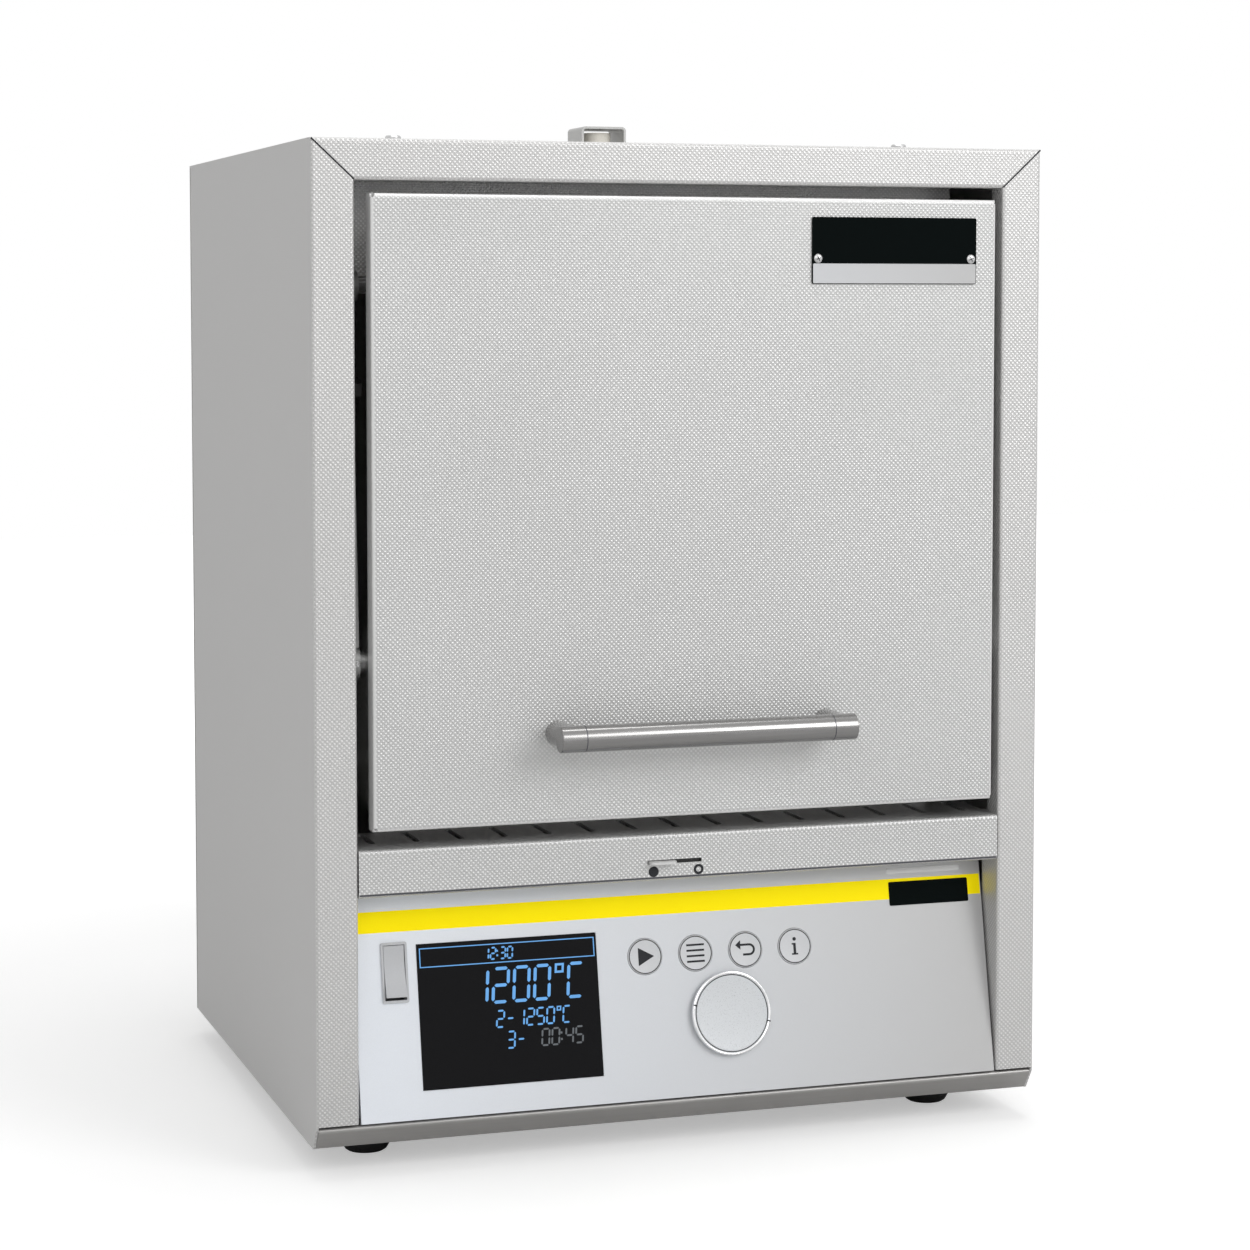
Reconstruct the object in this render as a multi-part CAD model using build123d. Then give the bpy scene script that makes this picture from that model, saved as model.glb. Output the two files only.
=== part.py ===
from build123d import *
import os
from math import cos, degrees, radians, sin

# Bench-top high-temperature muffle furnace with a parallel-swinging lift door. Millimetres.
# Every piece is drawn in the casing's frame: x across from the middle, y back from the front
# face, z up from the underside of the base pan. ROW_ORIGIN then moves all of them to the
# middle of the footprint, on the surface that the furnace stands on.

# ---- driving dimensions -------------------------------------------------------------------
CASING_W = 385.0
CASING_D = 326.0
CASING_H = 494.0
TOTAL_D = 425.0
FOOT_H = 15.0
SHEET = 1.2                 # thickness of every folded sheet
BEND = 1.2                  # mid-line bend radius of a fold
FIT = 0.06                  # radial running clearance of a pin in its hole

FRAME_HALF = 171.0          # half width of the opening between the front flanges
FRAME_TOP = 474.0           # top of that opening
RETURN_D = 13.0             # depth of the flange's return beside the door
RETURN_D_LOW = 19.0         # and beside the control panel
REAR_FLANGE = 14.0
LIP_H = 12.7                # where the front flanges end above the base pan's slanting lip
LIP_RUN = 8.4

SILL_LOW = 124.4            # lower edge of the fascia strip below the door
SILL_TOP = 148.0
SILL_D = 51.0

DOOR_HALF = 164.5
DOOR_LOW = 157.7
DOOR_TOP = 467.4
DOOR_Y = -6.5               # the door's face stands proud of the front flanges
DOOR_BACK = 4.5
DOOR_ROUND = 2.2

CHAMBER_HALF = 62.0
CHAMBER_Y = (75.0, 195.0)
CHAMBER_Z = (252.0, 372.0)
MOUTH_HALF = 55.0
CASE_HALF = 135.0           # sheet case round the insulation
CASE_Y = (52.2, 267.0)
CASE_Z = (188.0, 436.0)

ARM_LENGTH = 185.0
ARM_LEAN = radians(4.0)     # how far the closed door's arms lean forward of hanging
ARM_T = 4.0
ARM_INNER = 166.5           # the arms' inner face
ARM_W = 14.0
BOSS_R = 10.0
UPPER_PIVOT = (34.0, 423.0)  # y and z of the pivots on the casing
LOWER_PIVOT = (68.0, 371.0)
PIN_R = 4.0

HANDLE_Y = -30.0
HANDLE_Z = 202.6
HANDLE_R = 6.6
HANDLE_BORE_R = 4.6
HANDLE_L = 155.0
HANDLE_END = 12.5

PANEL_LEAN = radians(11.33)
PANEL_HALF = 170.0
PANEL_V = 113.0
PANEL_T = 2.0

FRONT_Y = HANDLE_R - HANDLE_Y - TOTAL_D / 2
ROW_ORIGIN = Pos(0, FRONT_Y, FOOT_H)

# The control panel leans back. Its own frame is x across, y up its face and z out of it.
PANEL = Plane(
    origin=(0, 0, LIP_H - 0.2),
    x_dir=(1, 0, 0),
    z_dir=(0, -cos(PANEL_LEAN), sin(PANEL_LEAN)),
).location
XZ_BACK = Plane(origin=(0, 0, 0), x_dir=(1, 0, 0), z_dir=(0, -1, 0))

SIDES = {"left": -1, "right": 1}


# ---- helpers --------------------------------------------------------------------------------
def block(x, y, z):
    """Box from its three (low, high) pairs."""
    middle = [(low + high) / 2 for low, high in (x, y, z)]
    size = [high - low for low, high in (x, y, z)]
    return Pos(*middle) * Box(*size)


def rod(start, direction, length, radius):
    """Cylinder that leaves START along DIRECTION."""
    return extrude(Plane(origin=start, z_dir=direction) * Circle(radius), length)


def tube(start, direction, length, outer, inner):
    """Open tube that leaves START along DIRECTION."""
    return rod(start, direction, length, outer) - rod(start, direction, length, inner)


def folded(points, plane, length, thickness=SHEET, bend=BEND):
    """Sheet folded along the mid-line POINTS on PLANE, LENGTH long along its normal."""
    profile = trace(FilletPolyline(*points, radius=bend), thickness)
    return extrude(plane * profile, length)


def joined(solids):
    """Separate solids that make up one piece."""
    total = solids[0]
    for solid in solids[1:]:
        total += solid
    return total


def placed_side(solid, side):
    """A right-hand solid as it is, or mirrored for the left-hand side."""
    return solid if side > 0 else mirror(solid, about=Plane.YZ)


def swung(pivot):
    """Where an arm from PIVOT reaches at rest, with the door shut."""
    y, z = pivot
    return y - ARM_LENGTH * sin(ARM_LEAN), z - ARM_LENGTH * cos(ARM_LEAN)


# ---- casing ---------------------------------------------------------------------------------
MITRE_GAP = 0.3             # half the open line where the front flanges meet
MITRE_SLOPE = (CASING_H - FRAME_TOP) / (CASING_W / 2 - FRAME_HALF)
MITRE_X = FRAME_HALF - 1.0  # where the corner cuts start, inside the frame's opening
LEDGE_W = 10.0              # ledge along the top of a side panel, under the roof sheet
LEDGE_Y = (20.0, 300.0)
HOLE_RUN = 10.0             # length of a cutter that passes right through a sheet
PAN_LIP_Z = 11.0            # the pan's folded edge above its slanting lip
PAN_LIP_RETURN = 12.0
PAN_REAR_Z = 18.0
PAN_SLOTS = range(-4, 5)    # cooling slots through the pan
PAN_SLOT_STEP = 24.0
PAN_SLOT_Y = 165.0


def mitre_z(x):
    """Height of the mitre's diagonal at X, from the opening's corner to the outer corner."""
    return FRAME_TOP + MITRE_SLOPE * (x - FRAME_HALF)


def corner_cut(points):
    """Prism through the front flanges' depth, from its outline in X and Z."""
    return extrude(XZ_BACK * make_face(Polyline(*points, close=True)), -(RETURN_D + 0.5))


def casing_side(side):
    """Side panel with its front flange, the flange's return and the rear flange."""
    middle = CASING_W / 2 - SHEET / 2
    rear = CASING_D - SHEET * 1.5
    back_of_return = FRAME_HALF + SHEET / 2
    top = CASING_H - SHEET
    points = [
        (middle - REAR_FLANGE, rear),
        (middle, rear),
        (middle, SHEET / 2),
        (back_of_return, SHEET / 2),
        (back_of_return, RETURN_D_LOW),
    ]
    panel = folded(points, Plane.XY, top)
    inner = CASING_W / 2 - SHEET
    outer = CASING_W / 2
    panel -= block((MITRE_X, FRAME_HALF + 2), (RETURN_D, RETURN_D_LOW + 1), (SILL_TOP, top + 1))
    panel -= block((MITRE_X, inner), (-1, RETURN_D_LOW + 1), (-1, LIP_H))
    slant = Polyline((-1, -1), (LIP_RUN, -1), (LIP_RUN, 0), (0, LIP_H), (-1, LIP_H), close=True)
    panel -= extrude(Plane.YZ.offset(MITRE_X) * make_face(slant), outer + 1 - MITRE_X)
    panel -= corner_cut([
        (MITRE_X, mitre_z(MITRE_X) - MITRE_GAP),
        (outer, CASING_H - MITRE_GAP),
        (outer, CASING_H + 1),
        (MITRE_X, CASING_H + 1),
    ])
    panel += block((inner - LEDGE_W, inner), LEDGE_Y, (top - SHEET, top))
    return placed_side(panel, side)


def casing_roof():
    """Roof sheet with its mitred front flange, the return and a short rear flange."""
    rear = CASING_D - SHEET * 1.5
    top = CASING_H - SHEET / 2
    points = [
        (rear, CASING_H - REAR_FLANGE),
        (rear, top),
        (SHEET / 2, top),
        (SHEET / 2, FRAME_TOP + SHEET / 2),
        (RETURN_D, FRAME_TOP + SHEET / 2),
    ]
    roof = folded(points, Plane.YZ.offset(-CASING_W / 2), CASING_W)
    under = CASING_H - SHEET
    under_x = FRAME_HALF + (under - FRAME_TOP) / MITRE_SLOPE
    corner = corner_cut([
        (MITRE_X, mitre_z(MITRE_X) + MITRE_GAP),
        (under_x, under),
        (CASING_W / 2 + 1, under),
        (CASING_W / 2 + 1, FRAME_TOP - 6),
        (MITRE_X, FRAME_TOP - 6),
    ])
    ear = block(
        (CASING_W / 2 - SHEET - REAR_FLANGE - 1, CASING_W / 2 + 1),
        (rear - 3, CASING_D),
        (CASING_H - REAR_FLANGE - 2, CASING_H - SHEET),
    )
    for piece in (corner, ear):
        roof -= piece + mirror(piece, about=Plane.YZ)
    below = CASING_H - HOLE_RUN / 2
    roof -= rod((0, EXHAUST_Y, below), (0, 0, 1), HOLE_RUN, EXHAUST_R + 0.4)
    for x, y in ROOF_SCREWS:
        roof -= rod((x, y, below), (0, 0, 1), HOLE_RUN, SCREW_R + 0.2)
    return roof


def base_pan():
    """Floor of the casing with the slanting lip at the front and an upturned rear edge."""
    inner = CASING_W / 2 - SHEET - 0.1
    rear = CASING_D - SHEET * 2 - 1.4
    points = [
        (PAN_LIP_RETURN, PAN_LIP_Z),
        (1.0, PAN_LIP_Z),
        (LIP_RUN + 0.4, SHEET / 2),
        (rear, SHEET / 2),
        (rear, PAN_REAR_Z),
    ]
    pan = folded(points, Plane.YZ.offset(-inner), inner * 2)
    for x, y in FEET.values():
        pan -= rod((x, y, -1), (0, 0, 1), HOLE_RUN / 2, FOOT_SCREW_R)
    for column in PAN_SLOTS:
        slot = Plane.XY * Pos(PAN_SLOT_STEP * column, PAN_SLOT_Y) * SlotOverall(60, 5, rotation=90)
        pan -= Pos(0, 0, -1) * extrude(slot, HOLE_RUN / 2)
    return pan


FEET = {
    "foot_front_left": (-155.0, 55.0),
    "foot_front_right": (155.0, 55.0),
    "foot_rear_left": (-155.0, 271.0),
    "foot_rear_right": (155.0, 271.0),
}


FOOT_SCREW_R = 2.6
FOOT_R = 14.0               # under the pan
FOOT_TIP_R = 9.5            # on the bench
FOOT_WALL_R = 10.7          # just above the tip's small chamfer
FOOT_BORE_R = 4.5
FOOT_BORE_TOP = -6.0


def foot(x, y):
    """Tapered rubber foot, hollowed from below for its screw."""
    outline = Line((0, 0), (FOOT_R, 0)) + Line((FOOT_R, 0), (FOOT_R, -4))
    outline += ThreePointArc((FOOT_R, -4), (FOOT_R - 1, -9.5), (FOOT_WALL_R, -FOOT_H + 0.8))
    outline += Line((FOOT_WALL_R, -FOOT_H + 0.8), (FOOT_TIP_R, -FOOT_H))
    outline += Line((FOOT_TIP_R, -FOOT_H), (FOOT_BORE_R, -FOOT_H))
    outline += Line((FOOT_BORE_R, -FOOT_H), (FOOT_BORE_R, FOOT_BORE_TOP))
    outline += Line((FOOT_BORE_R, FOOT_BORE_TOP), (0, FOOT_BORE_TOP)) + Line((0, FOOT_BORE_TOP), (0, 0))
    profile = make_face(Plane.XZ * outline)
    return Pos(x, y, 0) * revolve(profile, Axis.Z)


# ---- rear -----------------------------------------------------------------------------------
FAN = (-100.0, 78.0)        # x and z of the fan's axis
FAN_R = 37.5
INLET = (100.0, 78.0)
GUARD_RADII = (10, 18, 26, 34)
GUARD_SLOT_W = 4.4
GUARD_BRIDGE = 4.0
COVER_X = 150.0
COVER_Z = (150.0, 440.0)
COVER_ROUND = 4.0
COVER_FLANGE = 13.0
COVER_HOLE_INSET = 25.0     # edge of the rear sheet's large hole inside the cover
COVER_SLOTS = (12, 18.0)    # slots in each of the two columns, and their step
COVER_LOUVRES = (7, 35.0)   # slots in each side, and their step


def rear_panel():
    """Flat rear sheet with the fan's guard cut into it and a cut-out for the mains inlet."""
    y0 = CASING_D - SHEET
    panel = block((-CASING_W / 2, CASING_W / 2), (y0, CASING_D), (0, CASING_H))
    centre = Plane(origin=(FAN[0], y0 - 1, FAN[1]), x_dir=(1, 0, 0), z_dir=(0, 1, 0))
    for radius in GUARD_RADII:
        ends = degrees((GUARD_SLOT_W + GUARD_BRIDGE) / radius)
        for quarter in range(4):
            arc = CenterArc((0, 0), radius, 90 * quarter + 45 + ends / 2, 90 - ends)
            panel -= extrude(centre * SlotArc(arc, GUARD_SLOT_W), 4)
    through = (y0 - 1, CASING_D + 1)
    x, z = INLET
    panel -= block((x - 16.5, x + 16.5), through, (z - 12.5, z + 12.5))
    half = COVER_X - COVER_HOLE_INSET
    heights = (COVER_Z[0] + COVER_HOLE_INSET, COVER_Z[1] - COVER_HOLE_INSET)
    return panel - block((-half, half), through, heights)


def rear_cover():
    """Deep cover over the element connections, with fixing flanges and rows of louvres."""
    reach = TOTAL_D - (HANDLE_R - HANDLE_Y)
    size_z = COVER_Z[1] - COVER_Z[0]
    deep = reach - CASING_D
    outer = block((-COVER_X, COVER_X), (CASING_D, reach), COVER_Z)
    outer = fillet(outer.edges().filter_by(Axis.Y), COVER_ROUND)
    outer = fillet(outer.faces().sort_by(Axis.Y)[-1].edges(), 2.5)
    inner = block(
        (-COVER_X + SHEET, COVER_X - SHEET),
        (CASING_D - 1, reach - SHEET),
        (COVER_Z[0] + SHEET, COVER_Z[1] - SHEET),
    )
    inner = fillet(inner.edges().filter_by(Axis.Y), COVER_ROUND - SHEET)
    cover = outer - inner
    flange = Plane(origin=(0, CASING_D, sum(COVER_Z) / 2), x_dir=(1, 0, 0), z_dir=(0, 1, 0))
    rim = RectangleRounded((COVER_X + COVER_FLANGE) * 2, size_z + COVER_FLANGE * 2, 6)
    rim -= RectangleRounded(COVER_X * 2 - 4, size_z - 4, COVER_ROUND)
    cover += extrude(flange * rim, SHEET)
    for sx in (-1, 1):
        count, step = COVER_SLOTS
        for row in range(count):
            slot = Pos(sx * 68, 100 - step * row, 0) * SlotOverall(108, 6)
            cover -= extrude(flange.offset(deep - 3) * slot, 5)
        count, step = COVER_LOUVRES
        for row in range(count):
            z = COVER_Z[0] + 40 + step * row
            cover -= block((sx * COVER_X - 3, sx * COVER_X + 3), (CASING_D + 14, reach - 12), (z, z + 5))
    return cover


INLET_HALF_W = 13.5         # the inlet's socket
INLET_HALF_H = 9.5
INLET_WALL = 2.0
INLET_PINS = ((-7, -2.5), (7, -2.5), (0, 3.5))


def mains_inlet():
    """Shrouded three-pin appliance inlet with its fixing flange."""
    x, z = INLET
    y0 = CASING_D
    half_w, half_h = INLET_HALF_W + INLET_WALL, INLET_HALF_H + INLET_WALL
    body = Pos(x, y0 - 14.75, z) * Box(half_w * 2 + 1, 30.5, half_h * 2 + 1)
    flange = Plane(origin=(x, y0, z), x_dir=(1, 0, 0), z_dir=(0, 1, 0))
    body += extrude(flange * SlotOverall(54, 28), 2.5)
    body += block((x - half_w, x + half_w), (y0 + 2, y0 + 5), (z - half_h, z + half_h))
    body -= Pos(x, y0 - 5, z) * Box(INLET_HALF_W * 2, 22, INLET_HALF_H * 2)
    for dx, dz in INLET_PINS:
        body += block((x + dx - 1, x + dx + 1), (y0 - 17, y0 + 1), (z + dz - 3, z + dz + 3))
    return body


FAN_HALF = 40.0             # half side of the fan's square frame
FAN_DEEP = 25.0
FAN_MOTOR_R = 15.0
FAN_PIN_R = 2.0
FAN_SCREW_AT = 35.75
FAN_BLADES = 7


def fan_frame():
    """Square frame of an axial fan, with its bore, screw holes and the motor's four struts."""
    x, z = FAN
    y1 = CASING_D - SHEET
    y0 = y1 - FAN_DEEP
    through = FAN_DEEP + 2
    frame = block((x - FAN_HALF, x + FAN_HALF), (y0, y1), (z - FAN_HALF, z + FAN_HALF))
    frame = fillet(frame.edges().filter_by(Axis.Y), 4)
    frame -= rod((x, y0 - 1, z), (0, 1, 0), through, FAN_R)
    frame += rod((x, y0, z), (0, 1, 0), 4, FAN_MOTOR_R)
    for turn in range(4):
        strut = Rot(0, 45 + 90 * turn, 0) * block((FAN_MOTOR_R - 3, FAN_R + 1), (0, 3), (-1.5, 1.5))
        frame += Pos(x, y0, z) * strut
    frame -= rod((x, y0 - 1, z), (0, 1, 0), 6, FAN_PIN_R + FIT)
    for sx in (-1, 1):
        for sz in (-1, 1):
            corner = (x + FAN_SCREW_AT * sx, y0 - 1, z + FAN_SCREW_AT * sz)
            frame -= rod(corner, (0, 1, 0), through, 2.2)
    return frame


def fan_rotor():
    """Hub with seven pitched blades, on a spindle in the frame's bearing."""
    x, z = FAN
    y0 = CASING_D - SHEET - FAN_DEEP
    rotor = rod((0, 5, 0), (0, 1, 0), 15, FAN_MOTOR_R - 0.5) + rod((0, 0.5, 0), (0, 1, 0), 6, FAN_PIN_R)
    for turn in range(FAN_BLADES):
        root = Plane(origin=(13, FAN_DEEP / 2, 0), x_dir=(0, 1, 0), z_dir=(1, 0, 0))
        tip = root.offset(22)
        root_face = root * Rot(0, 0, 50) * RectangleRounded(13, 1.8, 0.8)
        tip_face = tip * Rot(0, 0, 28) * RectangleRounded(19, 1.4, 0.6)
        # The root line runs steeply and the tip line flat, as on a twisted fan blade.
        blade = loft([root_face, tip_face])
        rotor += Rot(0, 360 / FAN_BLADES * turn, 0) * blade
    return Pos(x, y0, z) * rotor


# ---- roof fittings --------------------------------------------------------------------------
EXHAUST_Y = 153.0
EXHAUST_R = 7.5
SCREW_R = 2.5
SCREW_HEAD_R = 4.0
SCREW_HEAD_H = 4.5
ROOF_SCREWS = [(x, y) for x in (-137.5, 137.5) for y in (58.0, 268.0)]
HOOD_TOP = CASING_H + 16.0
HOOD_HALF = 12.5
HOOD_Y = (140.0, 166.0)
PIPE_WALL = 1.5
PIPE_TOP = CASING_H + 13.0


def exhaust_pipe():
    """Vertical ceramic pipe from the chamber's roof, with the collar it hangs from."""
    low = CHAMBER_Z[1]
    pipe = tube((0, EXHAUST_Y, low), (0, 0, 1), PIPE_TOP - low, EXHAUST_R, EXHAUST_R - PIPE_WALL)
    pipe += tube((0, EXHAUST_Y, CASE_Z[1]), (0, 0, 1), 3, 13, EXHAUST_R - 1)
    return pipe


def exhaust_hood():
    """Low sheet arch over the pipe, open to the front and the back."""
    half = HOOD_HALF - SHEET / 2
    top = HOOD_TOP - SHEET / 2
    points = [(-half, CASING_H), (-half, top), (half, top), (half, CASING_H)]
    return Pos(0, HOOD_Y[1], 0) * folded(points, XZ_BACK, HOOD_Y[1] - HOOD_Y[0], bend=1.6)


def roof_screws():
    """Socket screws that hold the roof down."""
    screws = []
    for x, y in ROOF_SCREWS:
        head = rod((x, y, CASING_H), (0, 0, 1), SCREW_HEAD_H, SCREW_HEAD_R)
        head = chamfer(head.edges().sort_by(Axis.Z)[-1], 0.6)
        socket = Plane.XY.offset(CASING_H + 1.8) * RegularPolygon(1.9, 6)
        shank = rod((x, y, CASING_H - 12), (0, 0, 1), 12.5, SCREW_R)
        screws.append(head + shank - Pos(x, y, 0) * extrude(socket, 4))
    return joined(screws)


# ---- sill and air inlet ---------------------------------------------------------------------
SILL_RETURN = 22.0          # depth of the strip's lower fold
SILL_REAR_Z = 143.4
SILL_SLOTS = range(-7, 8)
SILL_SLOT_STEP = 22.8
SILL_SLOT_Y = 32.0
AIR_SLOT = (-22.1, 6.7, 133.8)
AIR_Y = 100.0
AIR_STROKE = 13.8
AIR_PORT = AIR_SLOT[0] + 36.0   # the shutter's port, with the inlet open
AIR_X = AIR_PORT - AIR_STROKE
AIR_BORE_R = 5.0
AIR_PIPE_R = 6.5


def fascia_sill():
    """Fascia strip whose top runs back under the door, slotted for the cooling air."""
    points = [
        (SILL_RETURN, SILL_LOW + SHEET / 2),
        (SHEET / 2, SILL_LOW + SHEET / 2),
        (SHEET / 2, SILL_TOP - SHEET / 2),
        (SILL_D - SHEET / 2, SILL_TOP - SHEET / 2),
        (SILL_D - SHEET / 2, SILL_REAR_Z),
    ]
    half = FRAME_HALF - 0.4
    strip = folded(points, Plane.YZ.offset(-half), half * 2)
    for column in SILL_SLOTS:
        spot = Pos(SILL_SLOT_STEP * column, SILL_SLOT_Y, SILL_TOP - 3)
        strip -= spot * extrude(SlotOverall(29, 3.6, rotation=90), 5)
    x0, x1, z = AIR_SLOT
    strip -= block((x0, x1), (-1, SHEET + 1), (z - 1.0, z + 1.0))
    return strip


def air_inlet_slide():
    """Shutter plate behind the strip; its tab comes out through the narrow slot."""
    x0, _, z = AIR_SLOT
    plate = block((x0 - 8, x0 + 44), (SHEET + 0.5, SHEET + 1.7), (z - 5.5, z + 7.5))
    tab = block((x0 + 0.4, x0 + 14.4), (-5.0, SHEET + 1.0), (z - 0.6, z + 0.6))
    tab = fillet(tab.edges().filter_by(Axis.Z).sort_by(Axis.Y)[:2], 2.0)
    port = rod((AIR_PORT, SHEET, z + 1), (0, 1, 0), 3, AIR_BORE_R)
    return plate + tab - port


def air_inlet_tube():
    """Fixing plate behind the shutter and the pipe that carries the air to the chamber."""
    x0, _, z = AIR_SLOT
    axis_z = z + 1.0
    heights = (z - 7.5, z + 9.0)
    low, high = x0 - 12, x0 + 62
    plate = block((low, high), (SHEET + 2.2, SHEET + 3.8), heights)
    for end in (low, high - 3):
        plate += block((end, end + 3), (SHEET, SHEET + 2.2), heights)
    y0 = SHEET + 3.6
    path = FilletPolyline(
        (0, y0, axis_z), (0, AIR_Y, axis_z), (0, AIR_Y, CHAMBER_Z[0] - 4), radius=24
    )
    start = Plane(origin=(0, y0, axis_z), z_dir=(0, 1, 0))
    pipe = Pos(AIR_X, 0, 0) * sweep(start * Circle(AIR_PIPE_R), path=path)
    bore = Pos(AIR_X, 0, 0) * sweep(start * Circle(AIR_BORE_R), path=path)
    hole = rod((AIR_X, SHEET + 1, axis_z), (0, 1, 0), 6, AIR_BORE_R)
    return plate + pipe - bore - hole


# ---- muffle ---------------------------------------------------------------------------------
COLLAR_HALF = 118.0
COLLAR_Y = 50.0             # its front face, just behind the door's pad
COLLAR_Z = (226.0, 398.0)
COLLAR_ROUND = 8.0
ELEMENT_X = 58.0
ELEMENT_Y = (107.0, 163.0)
ELEMENT_LEG = 14.0
ELEMENT_LOW = 262.0
LEG_R = 2.0
TERMINAL_R = 3.5
TERMINAL_Z = (385.0, 458.0)
PLATE_HALF = 152.0
HEAD_HALF = 164.0           # its head reaches further out, just clear of the arms
HEAD_LOW = 428.0
HEAD_TOP = 492.4


def front_plate():
    """Sheet behind the door, round the insulation collar, with a wide head under the roof."""
    y = (SILL_D, SILL_D + SHEET)
    plate = block((-PLATE_HALF, PLATE_HALF), y, (SILL_TOP - 4.6, HEAD_LOW))
    plate += block((-HEAD_HALF, HEAD_HALF), y, (HEAD_LOW, HEAD_TOP))
    cut = block(
        (-COLLAR_HALF - 0.5, COLLAR_HALF + 0.5),
        (y[0] - 1, y[1] + 1),
        (COLLAR_Z[0] - 0.5, COLLAR_Z[1] + 0.5),
    )
    return plate - fillet(cut.edges().filter_by(Axis.Y), COLLAR_ROUND)


CHANNEL_X = 118.0           # webs of the two channels that carry the case
CHANNEL_Y = (70.0, 250.0)
THERMO_Z = 350.0
THERMO_R = 3.0


def inner_case():
    """Sheet case round the insulation, on two channels that stand on the base pan."""
    outer = block((-CASE_HALF, CASE_HALF), CASE_Y, CASE_Z)
    inner = block(
        (-CASE_HALF + SHEET, CASE_HALF - SHEET),
        (CASE_Y[0] - 1, CASE_Y[1] - SHEET),
        (CASE_Z[0] + SHEET, CASE_Z[1] - SHEET),
    )
    case = outer - inner
    half_run = HOLE_RUN / 2
    case -= rod((0, EXHAUST_Y, CASE_Z[1] - half_run), (0, 0, 1), HOLE_RUN, EXHAUST_R + 0.5)
    case -= rod((AIR_X, AIR_Y, CASE_Z[0] - half_run), (0, 0, 1), HOLE_RUN, AIR_PIPE_R + 0.5)
    case -= rod((0, CASE_Y[1] - half_run, THERMO_Z), (0, 1, 0), HOLE_RUN, THERMO_R + 0.4)
    for x, y in terminal_places():
        case -= rod((x, y, CASE_Z[1] - half_run), (0, 0, 1), HOLE_RUN, 6.0)
    for sx in (-1, 1):
        web, toe, flange = sx * CHANNEL_X, sx * (CHANNEL_X + 14), sx * (CHANNEL_X - 22)
        points = [
            (toe, SHEET * 1.5),
            (web, SHEET * 1.5),
            (web, CASE_Z[0] - SHEET / 2),
            (flange, CASE_Z[0] - SHEET / 2),
        ]
        case += Pos(0, CHANNEL_Y[1], 0) * folded(points, XZ_BACK, CHANNEL_Y[1] - CHANNEL_Y[0])
    return case


def terminal_places(sides=(-1, 1)):
    """Where the elements' terminals stand, as (x, y)."""
    legs = (-ELEMENT_LEG, ELEMENT_LEG)
    return [(sx * ELEMENT_X, y + leg) for sx in sides for y in ELEMENT_Y for leg in legs]


INSULATION_HALF = CASE_HALF - SHEET
INSULATION_Y1 = CASE_Y[1] - SHEET
INSULATION_Z = (CASE_Z[0] + SHEET, CASE_Z[1] - SHEET)
SLAB_FLOOR_TOP = CHAMBER_Z[0] - 4.0
BORE_RUN = 80.0             # length of a cutter that passes right through a slab


def insulation_collar():
    """Stepped fibre collar round the chamber's mouth."""
    collar = block((-INSULATION_HALF, INSULATION_HALF), (CASE_Y[0], CHAMBER_Y[0]), INSULATION_Z)
    step = block((-COLLAR_HALF, COLLAR_HALF), (COLLAR_Y, CASE_Y[0]), COLLAR_Z)
    collar += fillet(step.edges().filter_by(Axis.Y), COLLAR_ROUND)
    return collar - block((-MOUTH_HALF, MOUTH_HALF), (49.0, CHAMBER_Y[0] + 1), CHAMBER_Z)


def insulation_floor():
    """Fibre slab under the chamber, bored for the air inlet."""
    slab = block(
        (-INSULATION_HALF, INSULATION_HALF), (CHAMBER_Y[0], INSULATION_Y1), (INSULATION_Z[0], SLAB_FLOOR_TOP)
    )
    return slab - rod((AIR_X, AIR_Y, INSULATION_Z[0] - 1), (0, 0, 1), BORE_RUN, AIR_PIPE_R + 0.1)


def insulation_roof():
    """Fibre slab over the chamber, bored for the terminals and the exhaust."""
    slab = block(
        (-INSULATION_HALF, INSULATION_HALF), (CHAMBER_Y[0], INSULATION_Y1), (CHAMBER_Z[1], INSULATION_Z[1])
    )
    slab -= rod((0, EXHAUST_Y, CHAMBER_Z[1] - 1), (0, 0, 1), BORE_RUN, EXHAUST_R + 0.1)
    for x, y in terminal_places():
        slab -= rod((x, y, CHAMBER_Z[1] - 1), (0, 0, 1), BORE_RUN, TERMINAL_R + 0.4)
    return slab


def insulation_wall(side):
    """Fibre side wall of the chamber."""
    return placed_side(
        block((CHAMBER_HALF, INSULATION_HALF), (CHAMBER_Y[0], INSULATION_Y1), (SLAB_FLOOR_TOP, CHAMBER_Z[1])),
        side,
    )


def insulation_back():
    """Fibre rear wall of the chamber, bored for the thermocouple."""
    slab = block((-CHAMBER_HALF, CHAMBER_HALF), (CHAMBER_Y[1], INSULATION_Y1), (SLAB_FLOOR_TOP, CHAMBER_Z[1]))
    return slab - rod((0, CHAMBER_Y[1] - 1, THERMO_Z), (0, 1, 0), BORE_RUN, THERMO_R + 0.2)


def chamber_floor_plate():
    """Loose ceramic plate on the chamber's floor, with a port over the air inlet."""
    plate = block((-61, 61), (CHAMBER_Y[0] + 0.5, CHAMBER_Y[1] - 0.5), (SLAB_FLOOR_TOP, CHAMBER_Z[0]))
    return plate - rod((AIR_X, AIR_Y, SLAB_FLOOR_TOP - 1), (0, 0, 1), 8, 4.0)


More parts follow.
